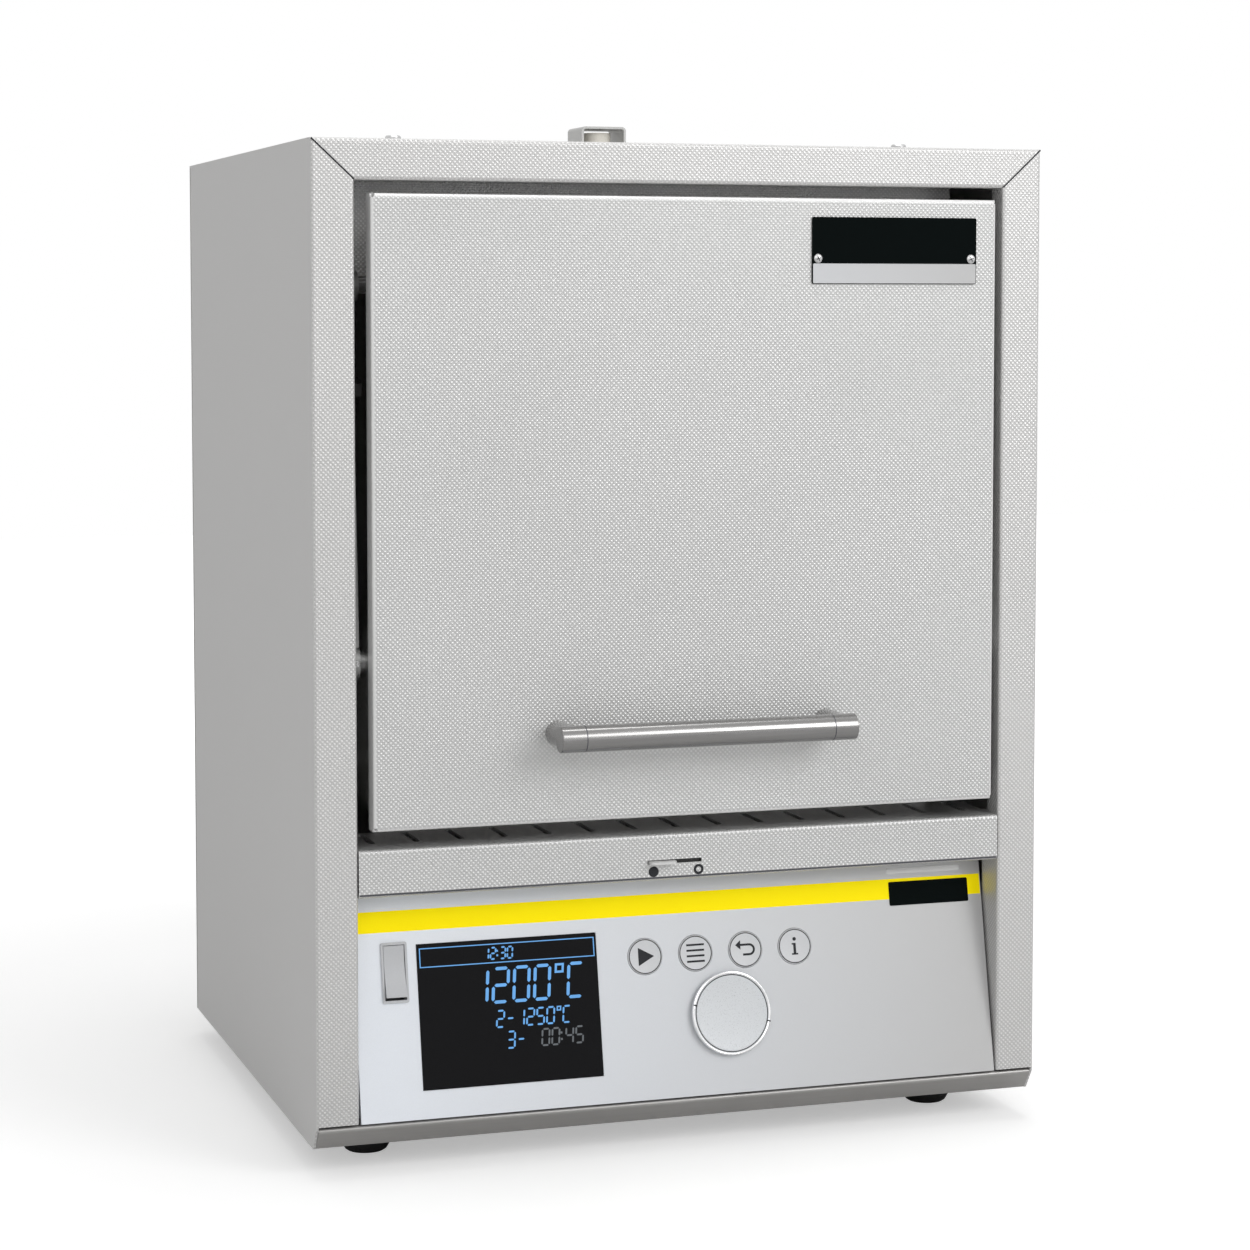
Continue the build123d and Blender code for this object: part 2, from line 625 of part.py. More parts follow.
def heating_elements(side):
    """Two U-shaped elements that hang down one wall from thick terminals."""
    elements = []
    x = side * ELEMENT_X
    low, high = TERMINAL_Z
    for y in ELEMENT_Y:
        y0, y1 = y - ELEMENT_LEG, y + ELEMENT_LEG
        corners = [(x, y0, low), (x, y0, ELEMENT_LOW), (x, y1, ELEMENT_LOW), (x, y1, low)]
        path = FilletPolyline(*corners, radius=ELEMENT_LEG - 0.2)
        hot = sweep(Plane(origin=(x, y0, low), z_dir=(0, 0, -1)) * Circle(LEG_R), path=path)
        for leg in (y0, y1):
            hot += rod((x, leg, low), (0, 0, 1), high - low, TERMINAL_R)
        elements.append(hot)
    return joined(elements)


RAIL_HALF = 11.0
RAIL_Y = (82.0, 188.0)
RAIL_H = 12.0


def element_clamps():
    """Ceramic rails on top of the case that carry the terminals."""
    rails = []
    for sx in (-1, 1):
        low, high = sorted((sx * (ELEMENT_X - RAIL_HALF), sx * (ELEMENT_X + RAIL_HALF)))
        rail = block((low, high), RAIL_Y, (CASE_Z[1], CASE_Z[1] + RAIL_H))
        rail = chamfer(rail.faces().sort_by(Axis.Z)[-1].edges(), 1.5)
        for x, y in terminal_places((sx,)):
            rail -= rod((x, y, CASE_Z[1] - 1), (0, 0, 1), RAIL_H + 2, TERMINAL_R)
        rails.append(rail)
    return joined(rails)


def thermocouple():
    """Ceramic sheath through the rear wall, with its connection head behind the case."""
    tip = CHAMBER_Y[1] - 11
    sheath = rod((0, tip, THERMO_Z), (0, 1, 0), CASE_Y[1] + 1 - tip, THERMO_R)
    sheath = fillet(sheath.edges().sort_by(Axis.Y)[0], THERMO_R - 0.6)
    head = rod((0, CASE_Y[1], THERMO_Z), (0, 1, 0), 22, 11)
    return sheath + chamfer(head.edges().sort_by(Axis.Y)[-1], 1.5)


TRANSFORMER_Y = 240.0
HEAT_SINK_Y = 120.0
HEAT_SINK_TOP = 100.0
FINS = range(-6, 7)
FIN_STEP = 9.5


def transformer():
    """Laminated core with its two end windings, on a foot plate."""
    y = TRANSFORMER_Y
    foot_plate = block((-70, 70), (y - 45, y + 45), (SHEET, SHEET + 3))
    core = block((-55, 55), (y - 25, y + 25), (SHEET + 3, 96))
    coil = block((-36, 36), (y - 39, y + 39), (20, 78))
    return foot_plate + core + fillet(coil.edges().filter_by(Axis.Z), 10)


def power_unit():
    """Finned heat sink with the power controller on it."""
    y, heights = HEAT_SINK_Y, (SHEET, HEAT_SINK_TOP)
    unit = block((-60, 60), (y, y + 6), heights) + block((-36, 36), (y - 22, y), (26, 80))
    for fin in FINS:
        x = FIN_STEP * fin
        unit += block((x - 0.8, x + 0.8), (y + 6, y + 30), heights)
    return unit


# ---- door linkage ---------------------------------------------------------------------------
HINGE_X = (172.9, 175.4)
HINGE_Y = (22.0, 84.0)
HINGE_Z = (354.0, 442.0)
HINGE_TOE = 12.0
PIN_HEAD_R = 6.0
BOLT_END_X = 152.6          # inner end of the lower pivots' long bolts


def hinge_plate(side):
    """Hat-section bracket on the side panel that carries both pivots, with the lower pin."""
    web = sum(HINGE_X) / 2
    gauge = HINGE_X[1] - HINGE_X[0]
    wall = CASING_W / 2 - SHEET - gauge / 2
    low, high = HINGE_Z
    ends = (low - HINGE_TOE, high + HINGE_TOE)
    points = [(wall, ends[0]), (wall, low), (web, low), (web, high), (wall, high), (wall, ends[1])]
    deep = HINGE_Y[1] - HINGE_Y[0]
    plate = Pos(0, HINGE_Y[1], 0) * folded(points, XZ_BACK, deep, thickness=gauge, bend=2.0)
    plate -= rod((HINGE_X[0] - 2, *UPPER_PIVOT), (1, 0, 0), 8, PIN_R + FIT)
    plate += rod((ARM_INNER + ARM_T + 0.2, *LOWER_PIVOT), (1, 0, 0), 3.2, PIN_HEAD_R)
    plate += rod((BOLT_END_X, *LOWER_PIVOT), (1, 0, 0), HINGE_X[0] + 1 - BOLT_END_X, PIN_R)
    plate += rod((ARM_INNER - 2.8, *LOWER_PIVOT), (1, 0, 0), 2.4, PIN_HEAD_R)
    nut = Plane(origin=(BOLT_END_X + 1, *LOWER_PIVOT), z_dir=(1, 0, 0)) * RegularPolygon(6.5, 6)
    plate += extrude(nut, 5)
    return placed_side(plate, side)


def torsion_shaft():
    """Cross shaft that keeps the two upper arms level, in the hinge plates' bores."""
    half = HINGE_X[1] + 1.6
    shaft = rod((-half, *UPPER_PIVOT), (1, 0, 0), half * 2, PIN_R)
    return chamfer(shaft.edges().filter_by(GeomType.CIRCLE), 0.6)


def arm(pivot, hole_top, hole_end):
    """Flat arm with a round boss at each end, from PIVOT to where it reaches at rest."""
    along = Plane(
        origin=(ARM_INNER, *pivot), x_dir=(0, -sin(ARM_LEAN), -cos(ARM_LEAN)), z_dir=(1, 0, 0)
    )
    outline = Pos(ARM_LENGTH / 2, 0) * SlotCenterToCenter(ARM_LENGTH, ARM_W)
    outline += Circle(BOSS_R) + Pos(ARM_LENGTH, 0) * Circle(BOSS_R)
    outline -= Circle(hole_top) + Pos(ARM_LENGTH, 0) * Circle(hole_end)
    return extrude(along * outline, ARM_T)


HUB_L = 3.5
HUB_R = 8.0


def upper_arm(side):
    """Upper arm with the hub that grips the cross shaft."""
    piece = arm(UPPER_PIVOT, PIN_R, PIN_R + FIT)
    piece += tube((ARM_INNER - HUB_L, *UPPER_PIVOT), (1, 0, 0), HUB_L, HUB_R, PIN_R)
    return placed_side(piece, side)


def lower_arm(side):
    """Lower arm; its far hole is the linkage's free pivot and has extra clearance."""
    return placed_side(arm(LOWER_PIVOT, PIN_R + FIT, PIN_R + FIT), side)


EAR_T = 3.0
BRACKET_Z = (165.0, 262.0)
FREE_PIN_R = PIN_R - 0.3    # the linkage's free pivot
PIN_BOSS_R = 5.6


def door_bracket(side):
    """Plate inside the door's edge with an ear that carries the two door pivots."""
    outer = DOOR_HALF - SHEET
    upper, lower = swung(UPPER_PIVOT), swung(LOWER_PIVOT)
    foot_z = BRACKET_Z
    foot_y = (DOOR_Y + DOOR_ROUND + 0.4, DOOR_BACK)
    base = Pos(sum(foot_y) / 2, sum(foot_z) / 2) * Rectangle(foot_y[1] - foot_y[0], foot_z[1] - foot_z[0])
    ear = Pos(*upper) * Circle(11) + Pos(*lower) * Circle(9) + base
    plate = extrude(Plane.YZ.offset(outer - EAR_T) * make_hull(ear.edges()), EAR_T)
    reach = ARM_INNER + ARM_T - 0.2 - (outer - EAR_T)
    for (y, z), pin_r in ((upper, PIN_R), (lower, FREE_PIN_R)):
        plate += rod((outer - EAR_T, y, z), (1, 0, 0), reach, pin_r)
        plate += rod((outer, y, z), (1, 0, 0), ARM_INNER - 0.2 - outer, PIN_BOSS_R)
    return placed_side(plate, side)


# ---- door -----------------------------------------------------------------------------------
HANDLE_POST_X = (HANDLE_L - HANDLE_END) / 2
POST_SCREW_R = 2.5
NIP_R = 1.4                 # the folded tray is nipped at its four front corners
NIP_INSET = 0.6
NIP_DEPTH = 2.6
NAME_PLATE = (107.8, 441.2, 90.0, 33.6)
BOARD_HALF = 152.0          # the insulation board inside the tray
BOARD_Z = (172.0, 454.0)
PLUG_PAD_Y = COLLAR_Y - 0.7
NOSE_HALF = 48.0            # the plug's nose, clear of the chamber's mouth all round
NOSE_Y = 73.0
NOSE_Z = (259.0, 365.0)


def door_shell():
    """Textured outer tray of the door with rounded folds."""
    outer = block((-DOOR_HALF, DOOR_HALF), (DOOR_Y, DOOR_BACK), (DOOR_LOW, DOOR_TOP))
    front = outer.faces().sort_by(Axis.Y)[0]
    outer = fillet(front.edges(), DOOR_ROUND)
    inner = block(
        (-DOOR_HALF + SHEET, DOOR_HALF - SHEET),
        (DOOR_Y + SHEET, DOOR_BACK + 1),
        (DOOR_LOW + SHEET, DOOR_TOP - SHEET),
    )
    front = inner.faces().sort_by(Axis.Y)[0]
    inner = fillet(front.edges(), DOOR_ROUND - SHEET)
    shell = outer - inner
    for sx in (-1, 1):
        shell -= rod((sx * HANDLE_POST_X, DOOR_Y - 1, HANDLE_Z), (0, 1, 0), 4, POST_SCREW_R + 0.2)
        for z in (DOOR_LOW + NIP_INSET, DOOR_TOP - NIP_INSET):
            nip = (sx * (DOOR_HALF - NIP_INSET), DOOR_Y - 1, z)
            shell -= rod(nip, (0, 1, 0), 1 + NIP_DEPTH, NIP_R)
    return shell


def door_back_plate():
    """Sheet that closes the tray behind, round the insulation plug."""
    y = (DOOR_BACK - SHEET, DOOR_BACK)
    edge = DOOR_HALF - SHEET - 3.2
    plate = block((-edge, edge), y, (DOOR_LOW + SHEET + 0.1, DOOR_TOP - SHEET - 0.1))
    cut = block((-COLLAR_HALF, COLLAR_HALF), (y[0] - 1, y[1] + 1), COLLAR_Z)
    return plate - fillet(cut.edges().filter_by(Axis.Y), COLLAR_ROUND)


def door_insulation():
    """Stepped fibre plug: a board in the tray, the sealing pad and the nose in the mouth."""
    board = block((-BOARD_HALF, BOARD_HALF), (DOOR_Y + SHEET, DOOR_BACK - SHEET), BOARD_Z)
    for sx in (-1, 1):
        board -= rod((sx * HANDLE_POST_X, DOOR_Y, HANDLE_Z), (0, 1, 0), DOOR_BACK - DOOR_Y, 8)
    pad = block((-COLLAR_HALF, COLLAR_HALF), (DOOR_BACK - SHEET, PLUG_PAD_Y), COLLAR_Z)
    pad = fillet(pad.edges().filter_by(Axis.Y), COLLAR_ROUND)
    nose = block((-NOSE_HALF, NOSE_HALF), (PLUG_PAD_Y, NOSE_Y), NOSE_Z)
    nose = fillet(nose.edges().filter_by(Axis.Y), 4)
    nose = chamfer(nose.faces().sort_by(Axis.Y)[-1].edges(), 2)
    return board + pad + nose


def handle_bar():
    """Straight bright tube between the two end pieces."""
    half = HANDLE_L / 2 - HANDLE_END
    return tube((-half, HANDLE_Y, HANDLE_Z), (1, 0, 0), half * 2, HANDLE_R, HANDLE_BORE_R)


def handle_end(side):
    """Turned cap with the post that stands on the door and the nut behind the sheet."""
    inner = HANDLE_L / 2 - HANDLE_END
    cap = rod((inner, HANDLE_Y, HANDLE_Z), (1, 0, 0), HANDLE_END, HANDLE_R)
    cap = fillet(cap.edges().sort_by(Axis.X)[-1], 0.6)
    cap += rod((HANDLE_POST_X, HANDLE_Y, HANDLE_Z), (0, 1, 0), DOOR_Y - HANDLE_Y, HANDLE_END / 2)
    cap += rod((inner - 9, HANDLE_Y, HANDLE_Z), (1, 0, 0), 9.5, HANDLE_BORE_R)
    cap += rod((HANDLE_POST_X, DOOR_Y - 0.5, HANDLE_Z), (0, 1, 0), 8, POST_SCREW_R)
    nut = Plane(origin=(HANDLE_POST_X, DOOR_Y + SHEET, HANDLE_Z), z_dir=(0, 1, 0)) * RegularPolygon(4.6, 6)
    return placed_side(cap + extrude(nut, 4), side)


def name_plate():
    """Bare plate near the door's upper right corner."""
    x, z, width, height = NAME_PLATE
    face = Plane(origin=(x, DOOR_Y, z), x_dir=(1, 0, 0), z_dir=(0, -1, 0))
    return extrude(face * RectangleRounded(width, height, 1.0), 1.0)


# ---- control panel --------------------------------------------------------------------------
DISPLAY = (-91.2, 49.75, 93.4, 71.5)
ROCKER = (-149.6, 72.5)
ROCKER_REST = -6.5          # degrees: the upper end is pressed in
ROCKER_PIVOT = -3.0
BUTTONS = {
    "button_start": -18.8,
    "button_menu": 8.4,
    "button_back": 35.6,
    "button_info": 62.8,
}
BUTTON_V = 71.8
BUTTON_R = 9.15
STEM_R = 3.0
DIAL = (25.0, 40.3)
DIAL_R = 21.25
DIAL_TOP = 3.5
COLLAR_HOLE_R = 5.0
ROCKER_W = 13.2
ROCKER_H = 30.0
ROCKER_WALL = 0.6


def control_panel():
    """Leaning front sheet of the controls with its cut-outs and side flanges."""
    sheet = block((-PANEL_HALF, PANEL_HALF), (0, PANEL_V), (-PANEL_T, 0))
    for sx in (-1, 1):
        low, high = sorted((sx * PANEL_HALF, sx * (PANEL_HALF - PANEL_T)))
        sheet += block((low, high), (3, PANEL_V - 3), (-14, -PANEL_T))
    u, v, width, height = DISPLAY
    sheet -= Pos(u, v, 0) * Box(width + 0.4, height + 0.4, 8)
    sheet -= Pos(*ROCKER, 0) * Box(ROCKER_W - 0.8, ROCKER_H - 1.4, 8)
    for u in BUTTONS.values():
        sheet -= Pos(u, BUTTON_V, 0) * Cylinder(BUTTON_R + 0.25, 8)
    sheet -= Pos(*DIAL, 0) * Cylinder(COLLAR_HOLE_R, 8)
    return PANEL * sheet


def display_module():
    """Display glass, a little proud of the panel, on its housing."""
    u, v, width, height = DISPLAY
    glass = Pos(u, v, 0) * extrude(Pos(0, 0, -PANEL_T) * RectangleRounded(width, height, 1.2), PANEL_T + 0.5)
    housing = block((u - 50, u + 50), (v - 40, v + 40), (-13, -PANEL_T))
    return PANEL * (glass + fillet(housing.edges().filter_by(Axis.Z), 2))


def dish(radius, depth):
    """Ball that cuts a dish of this radius and depth into a face at its origin."""
    ball_r = (radius**2 + depth**2) / (2 * depth)
    return Pos(0, 0, ball_r - depth) * Sphere(ball_r)


def button(u):
    """Key with a shallow dish in its face and a stem behind."""
    key = Pos(0, 0, -1.1) * Cylinder(BUTTON_R, 3.2)
    key = fillet(key.edges().sort_by(Axis.Z)[-1], 0.4)
    key -= Pos(0, 0, 0.5) * dish(8.0, 0.4)
    key += Pos(0, 0, -6) * Cylinder(STEM_R, 7.0)
    return PANEL * Pos(u, BUTTON_V, 0) * key


def dial_encoder():
    """Push shaft behind the dial: collar in the panel's hole and a stop flange inside."""
    shaft = Pos(0, 0, -5.1) * Cylinder(COLLAR_HOLE_R - 0.4, 11.8)
    shaft += Pos(0, 0, -5.0) * Cylinder(7.5, 3.0)
    shaft += Pos(0, 0, 1.4) * Cylinder(2.5, 2.4)
    return PANEL * Pos(*DIAL, 0) * shaft


def dial():
    """Low jog dial: rounded rim, a groove inside it and a dished face."""
    outline = Polyline((2.5 + FIT, 1.1), (DIAL_R - 0.8, 1.1), (DIAL_R, 1.8), (DIAL_R, 2.7))
    outline += ThreePointArc((DIAL_R, 2.7), (DIAL_R - 0.5, 3.5), (DIAL_R - 1.2, 3.7))
    outline += Polyline((DIAL_R - 1.2, 3.7), (19.4, 3.2), (19.0, DIAL_TOP), (0, DIAL_TOP), (0, 2.6))
    outline += Polyline((0, 2.6), (2.5 + FIT, 2.6), (2.5 + FIT, 1.1))
    disc = revolve(make_face(Plane.XZ * outline), Axis.Z)
    disc -= Pos(0, 0, DIAL_TOP) * dish(18.6, 0.5)
    return PANEL * Pos(*DIAL, 0) * disc


def rocker_frame():
    """Bezel and well of the rocker switch."""
    frame = Pos(0, 0, 0.5) * Box(ROCKER_W, ROCKER_H, 1.0)
    frame = fillet(frame.edges().filter_by(Axis.Z), 1.0)
    width, height = ROCKER_W - 1.0, ROCKER_H - 1.6
    frame += Pos(0, 0, -7.5) * Box(width, height, 15)
    frame -= Pos(0, 0, -5.5) * Box(width - 2 * ROCKER_WALL, height - 2 * ROCKER_WALL, 16)
    return PANEL * Pos(*ROCKER, 0) * frame


def rocker_key():
    """Dished rocker, tilted so that its upper end is pressed in."""
    tip, dip, root = 12.8, 0.7, -6.5
    outline = ThreePointArc((-tip, 2.2), (0, dip), (tip, 2.2))
    outline += Polyline((tip, 2.2), (tip - 2.6, root), (-tip + 2.6, root), (-tip, 2.2))
    key = extrude(Plane.YZ.offset(-5.2) * make_face(outline), 10.4)
    tilt = Pos(0, 0, ROCKER_PIVOT) * Rot(ROCKER_REST, 0, 0) * Pos(0, 0, -ROCKER_PIVOT)
    return PANEL * Pos(*ROCKER, 0) * tilt * key


# ---- all pieces -----------------------------------------------------------------------------
def build_parts():
    """Every piece by its name, in the casing's frame."""
    parts = {
        "casing_roof": casing_roof(),
        "base_pan": base_pan(),
        "rear_panel": rear_panel(),
        "rear_cover": rear_cover(),
        "mains_inlet": mains_inlet(),
        "fan_frame": fan_frame(),
        "fan_rotor": fan_rotor(),
        "exhaust_pipe": exhaust_pipe(),
        "exhaust_hood": exhaust_hood(),
        "roof_screws": roof_screws(),
        "fascia_sill": fascia_sill(),
        "air_inlet_slide": air_inlet_slide(),
        "air_inlet_tube": air_inlet_tube(),
        "front_plate": front_plate(),
        "inner_case": inner_case(),
        "insulation_collar": insulation_collar(),
        "insulation_floor": insulation_floor(),
        "insulation_roof": insulation_roof(),
        "insulation_back": insulation_back(),
        "chamber_floor_plate": chamber_floor_plate(),
        "element_clamps": element_clamps(),
        "thermocouple": thermocouple(),
        "transformer": transformer(),
        "power_unit": power_unit(),
        "torsion_shaft": torsion_shaft(),
        "door_shell": door_shell(),
        "door_back_plate": door_back_plate(),
        "door_insulation": door_insulation(),
        "handle_bar": handle_bar(),
        "name_plate": name_plate(),
        "control_panel": control_panel(),
        "display_module": display_module(),
        "dial_encoder": dial_encoder(),
        "dial": dial(),
        "rocker_frame": rocker_frame(),
        "rocker_key": rocker_key(),
    }
    for name, side in SIDES.items():
        parts[f"casing_{name}"] = casing_side(side)
        parts[f"insulation_{name}"] = insulation_wall(side)
        parts[f"heating_elements_{name}"] = heating_elements(side)
        parts[f"hinge_plate_{name}"] = hinge_plate(side)
        parts[f"upper_arm_{name}"] = upper_arm(side)
        parts[f"lower_arm_{name}"] = lower_arm(side)
        parts[f"door_bracket_{name}"] = door_bracket(side)
        parts[f"handle_end_{name}"] = handle_end(side)
    for name, u in BUTTONS.items():
        parts[name] = button(u)
    for name, place in FEET.items():
        parts[name] = foot(*place)
    return parts


os.makedirs("parts", exist_ok=True)
for node, solid in build_parts().items():
    export_step(ROW_ORIGIN * solid, f"parts/{node}.step")
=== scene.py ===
from math import cos, pi, radians, sin

import bmesh
import bpy
import numpy as np
from bpy.props import FloatProperty, FloatVectorProperty, IntProperty, PointerProperty
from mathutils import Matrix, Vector


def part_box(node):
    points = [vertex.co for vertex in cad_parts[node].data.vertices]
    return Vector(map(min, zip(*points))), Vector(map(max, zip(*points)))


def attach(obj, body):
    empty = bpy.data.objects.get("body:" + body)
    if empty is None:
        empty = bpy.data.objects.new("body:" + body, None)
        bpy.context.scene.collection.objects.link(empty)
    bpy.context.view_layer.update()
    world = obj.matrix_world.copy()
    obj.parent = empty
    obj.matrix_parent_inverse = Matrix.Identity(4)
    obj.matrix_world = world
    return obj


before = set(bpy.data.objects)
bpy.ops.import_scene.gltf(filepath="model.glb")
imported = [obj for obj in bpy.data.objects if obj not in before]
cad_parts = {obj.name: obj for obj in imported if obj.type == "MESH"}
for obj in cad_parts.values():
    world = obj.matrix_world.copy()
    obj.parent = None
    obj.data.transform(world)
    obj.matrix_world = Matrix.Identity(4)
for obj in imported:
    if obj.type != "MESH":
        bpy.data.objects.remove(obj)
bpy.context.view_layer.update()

bl_info = {
    "name": "Muffle Furnace Finish",
    "version": (1, 0, 0),
    "blender": (4, 5, 0),
    "location": "3D View > Sidebar > Furnace",
    "description": "Finishes, printed marks, screws and the studio for a bench-top muffle furnace",
    "category": "Object",
}

MM = 0.001
PANEL_LEAN = radians(11.33)
SIDES = {"left": -1, "right": 1}


# ---- places on the furnace ----
class Place:
    """A flat place: its origin and the directions across it, up it and out of it."""

    def __init__(self, origin, across, up):
        self.origin = np.array(origin, float)
        self.axes = np.array([across, up, np.cross(across, up)], float)

    def put(self, points):
        """Points across, up and out, in metres, moved to the furnace."""
        return self.origin + np.asarray(points, float) @ self.axes

    def moved(self, across, up, out=0.0):
        """The same place with its origin moved within itself."""
        return Place(self.put([across, up, out]), self.axes[0], self.axes[1])

    def turned(self, angle):
        """The same place turned in its own plane, against the clock."""
        across, up = self.axes[0], self.axes[1]
        turned_across = across * cos(angle) + up * sin(angle)
        return Place(self.origin, turned_across, up * cos(angle) - across * sin(angle))


class DishedPlace(Place):
    """A place whose face is the bottom of a large ball.

    It rises by the distance from its middle squared, over twice the ball's radius."""

    def __init__(self, place, ball):
        super().__init__(place.origin, place.axes[0], place.axes[1])
        self.ball = ball

    def put(self, points):
        lifted = np.array(points, float)
        if lifted.ndim == 2:
            lifted[:, 2] += (lifted[:, 0] ** 2 + lifted[:, 1] ** 2) / (2 * self.ball)
        return super().put(lifted)


def both(*names):
    """Each of the names with its left and its right."""
    return [f"{name}_{side}" for name in names for side in SIDES]


def middle(node):
    """Middle of a CAD node's box."""
    low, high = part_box(node)
    return (low + high) / 2


FRONT_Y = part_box("casing_left")[0].y
REAR_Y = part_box("rear_panel")[1].y
ROOF_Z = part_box("casing_roof")[1].z
PAN_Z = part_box("base_pan")[0].z
CASING_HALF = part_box("casing_right")[1].x
PANEL_LOW = PAN_Z + 12.5 * MM
FRONT = Place((0, FRONT_Y, PAN_Z), (1, 0, 0), (0, 0, 1))
REAR = Place((0, REAR_Y, PAN_Z), (-1, 0, 0), (0, 0, 1))
UNDERSIDE = Place((0, 0, PAN_Z), (1, 0, 0), (0, -1, 0))
PANEL = Place((0, FRONT_Y, PANEL_LOW), (1, 0, 0), (0, sin(PANEL_LEAN), cos(PANEL_LEAN)))


# ---- shells worked out on grids ----
def grid_faces(rows, columns, close_rows=False, close_columns=False):
    """Quads of a grid stored row by row: each joins a point to the next in its row and column."""
    row, column = np.meshgrid(
        np.arange(rows if close_rows else rows - 1),
        np.arange(columns if close_columns else columns - 1),
        indexing="ij",
    )
    next_row, next_column = (row + 1) % rows, (column + 1) % columns
    corners = (
        row * columns + column,
        row * columns + next_column,
        next_row * columns + next_column,
        next_row * columns + column,
    )
    return np.stack(corners, axis=-1).reshape(-1, 4).tolist()


def together(*shells):
    """Several shells as one: the points in a row and the faces counted on."""
    points, faces, count = [], [], 0
    for shell_points, shell_faces in shells:
        points.append(shell_points)
        faces += [[count + corner for corner in face] for face in shell_faces]
        count += len(shell_points)
    return np.concatenate(points), faces


def ring_points(radius, count, start=0.0):
    """COUNT points evenly round a circle: radius times the cosine and the sine of the angle."""
    turn = start + np.arange(count) * 2 * pi / count
    return np.stack([radius * np.cos(turn), radius * np.sin(turn)], axis=-1)


def lathe(place, profile, count=32):
    """Surface of revolution about the place's outward axis.

    Each (radius, height) of the profile goes once round: radius times the cosine and the sine
    of the angle, at that height. Radii of zero close at the axis when the piece is welded."""
    profile = np.array(profile, float)
    circle = ring_points(1.0, count)
    flat = profile[:, None, 0, None] * circle[None]
    height = np.broadcast_to(profile[:, 1, None, None], flat.shape[:2] + (1,))
    points = np.concatenate([flat, height], axis=-1).reshape(-1, 3)
    return place.put(points), grid_faces(len(profile), count, close_columns=True)


def slab(place, outline, thickness, foot=0.0):
    """Flat plate with this outline: the outline at its foot and at its top, walls and two caps."""
    outline = np.array(outline, float)
    count = len(outline)
    low = np.column_stack([outline, np.full(count, foot)])
    high = np.column_stack([outline, np.full(count, foot + thickness)])
    faces = grid_faces(2, count, close_columns=True)
    faces += [list(range(count))[::-1], list(range(count, 2 * count))]
    return place.put(np.concatenate([low, high])), faces


def patch(place, outline, thickness, rings=5):
    """Closed flat shape that can follow a dish: its outline drawn in towards its middle in rings.

    Ring by ring the outline is scaled about its mean point, over the top and back along the foot."""
    outline = np.array(outline, float)
    centre = outline.mean(axis=0)
    scale = np.linspace(1.0, 0.0, rings)
    scale = np.concatenate([scale[::-1], scale])
    height = np.where(np.arange(2 * rings) < rings, 0.0, thickness)
    flat = centre + scale[:, None, None] * (outline - centre)[None]
    tall = np.broadcast_to(height[:, None, None], flat.shape[:2] + (1,))
    points = np.concatenate([flat, tall], axis=-1).reshape(-1, 3)
    return place.put(points), grid_faces(2 * rings, len(outline), close_columns=True)


def ribbon(place, path, width, thickness, closed=False):
    """Raised line along a path in the plane.

    Each point of the path moves half the width to either side along the mean normal of its two
    runs, stretched at a corner so that the line keeps its width, at the foot and at the top."""
    path = np.array(path, float)
    runs = np.roll(path, -1, axis=0) - path
    if not closed:
        runs[-1] = runs[-2]
    runs /= np.linalg.norm(runs, axis=1)[:, None]
    before = np.roll(runs, 1, axis=0)
    if not closed:
        before[0] = runs[0]
    normal = np.stack([-runs[:, 1], runs[:, 0]], axis=-1)
    normal_before = np.stack([-before[:, 1], before[:, 0]], axis=-1)
    mean = normal + normal_before
    mean /= np.sum(mean * normal, axis=1)[:, None]
    left, right = path + mean * width / 2, path - mean * width / 2
    tiers = np.array([0.0, 0.0, thickness, thickness])
    flat = np.stack([right, left, left, right], axis=1)
    height = np.broadcast_to(tiers[None, :, None], flat.shape[:2] + (1,))
    points = np.concatenate([flat, height], axis=-1).reshape(-1, 3)
    faces = grid_faces(len(path), 4, close_rows=closed, close_columns=True)
    if not closed:
        last = 4 * (len(path) - 1)
        faces += [[0, 1, 2, 3], [last + 3, last + 2, last + 1, last]]
    return place.put(points), faces


def annulus(place, inner, outer, thickness, count=64):
    """Flat raised ring: a ribbon along the circle midway between its two radii."""
    path = ring_points((inner + outer) / 2, count)
    return ribbon(place, path, outer - inner, thickness, closed=True)


def rounded(width, height, radius, steps=5):
    """Outline of a rectangle with quarter circles at its corners."""
    corners = ((1, 1, 0), (-1, 1, 1), (-1, -1, 2), (1, -1, 3))
    angle = np.linspace(0, pi / 2, steps)
    rounds = []
    for sx, sy, quarter in corners:
        turn = angle + quarter * pi / 2
        centre = np.array([sx * (width / 2 - radius), sy * (height / 2 - radius)])
        rounds.append(centre + radius * np.stack([np.cos(turn), np.sin(turn)], axis=-1))
    return np.concatenate(rounds)


def rectangle(low_x, high_x, low_y, high_y):
    """Outline of a plain rectangle."""
    return [(low_x, low_y), (high_x, low_y), (high_x, high_y), (low_x, high_y)]


# Materials by the name of their finish, made by the finishes operator.
FINISH = {}


def make_piece(name, shell, finish, body="housing", smooth=False):
    """A welded piece in this finish that faces outwards and rides on BODY."""
    points, faces = shell
    mesh = bpy.data.meshes.new(name)
    mesh.from_pydata(points.tolist(), [], faces)
    work = bmesh.new()
    work.from_mesh(mesh)
    bmesh.ops.remove_doubles(work, verts=work.verts, dist=1e-6)
    bmesh.ops.recalc_face_normals(work, faces=work.faces)
    work.to_mesh(mesh)
    work.free()
    piece = bpy.data.objects.new(name, mesh)
    bpy.context.scene.collection.objects.link(piece)
    mesh.materials.append(FINISH[finish])
    if smooth:
        mesh.polygons.foreach_set("use_smooth", [True] * len(mesh.polygons))
        mesh.set_sharp_from_angle(angle=radians(35))
    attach(piece, body)


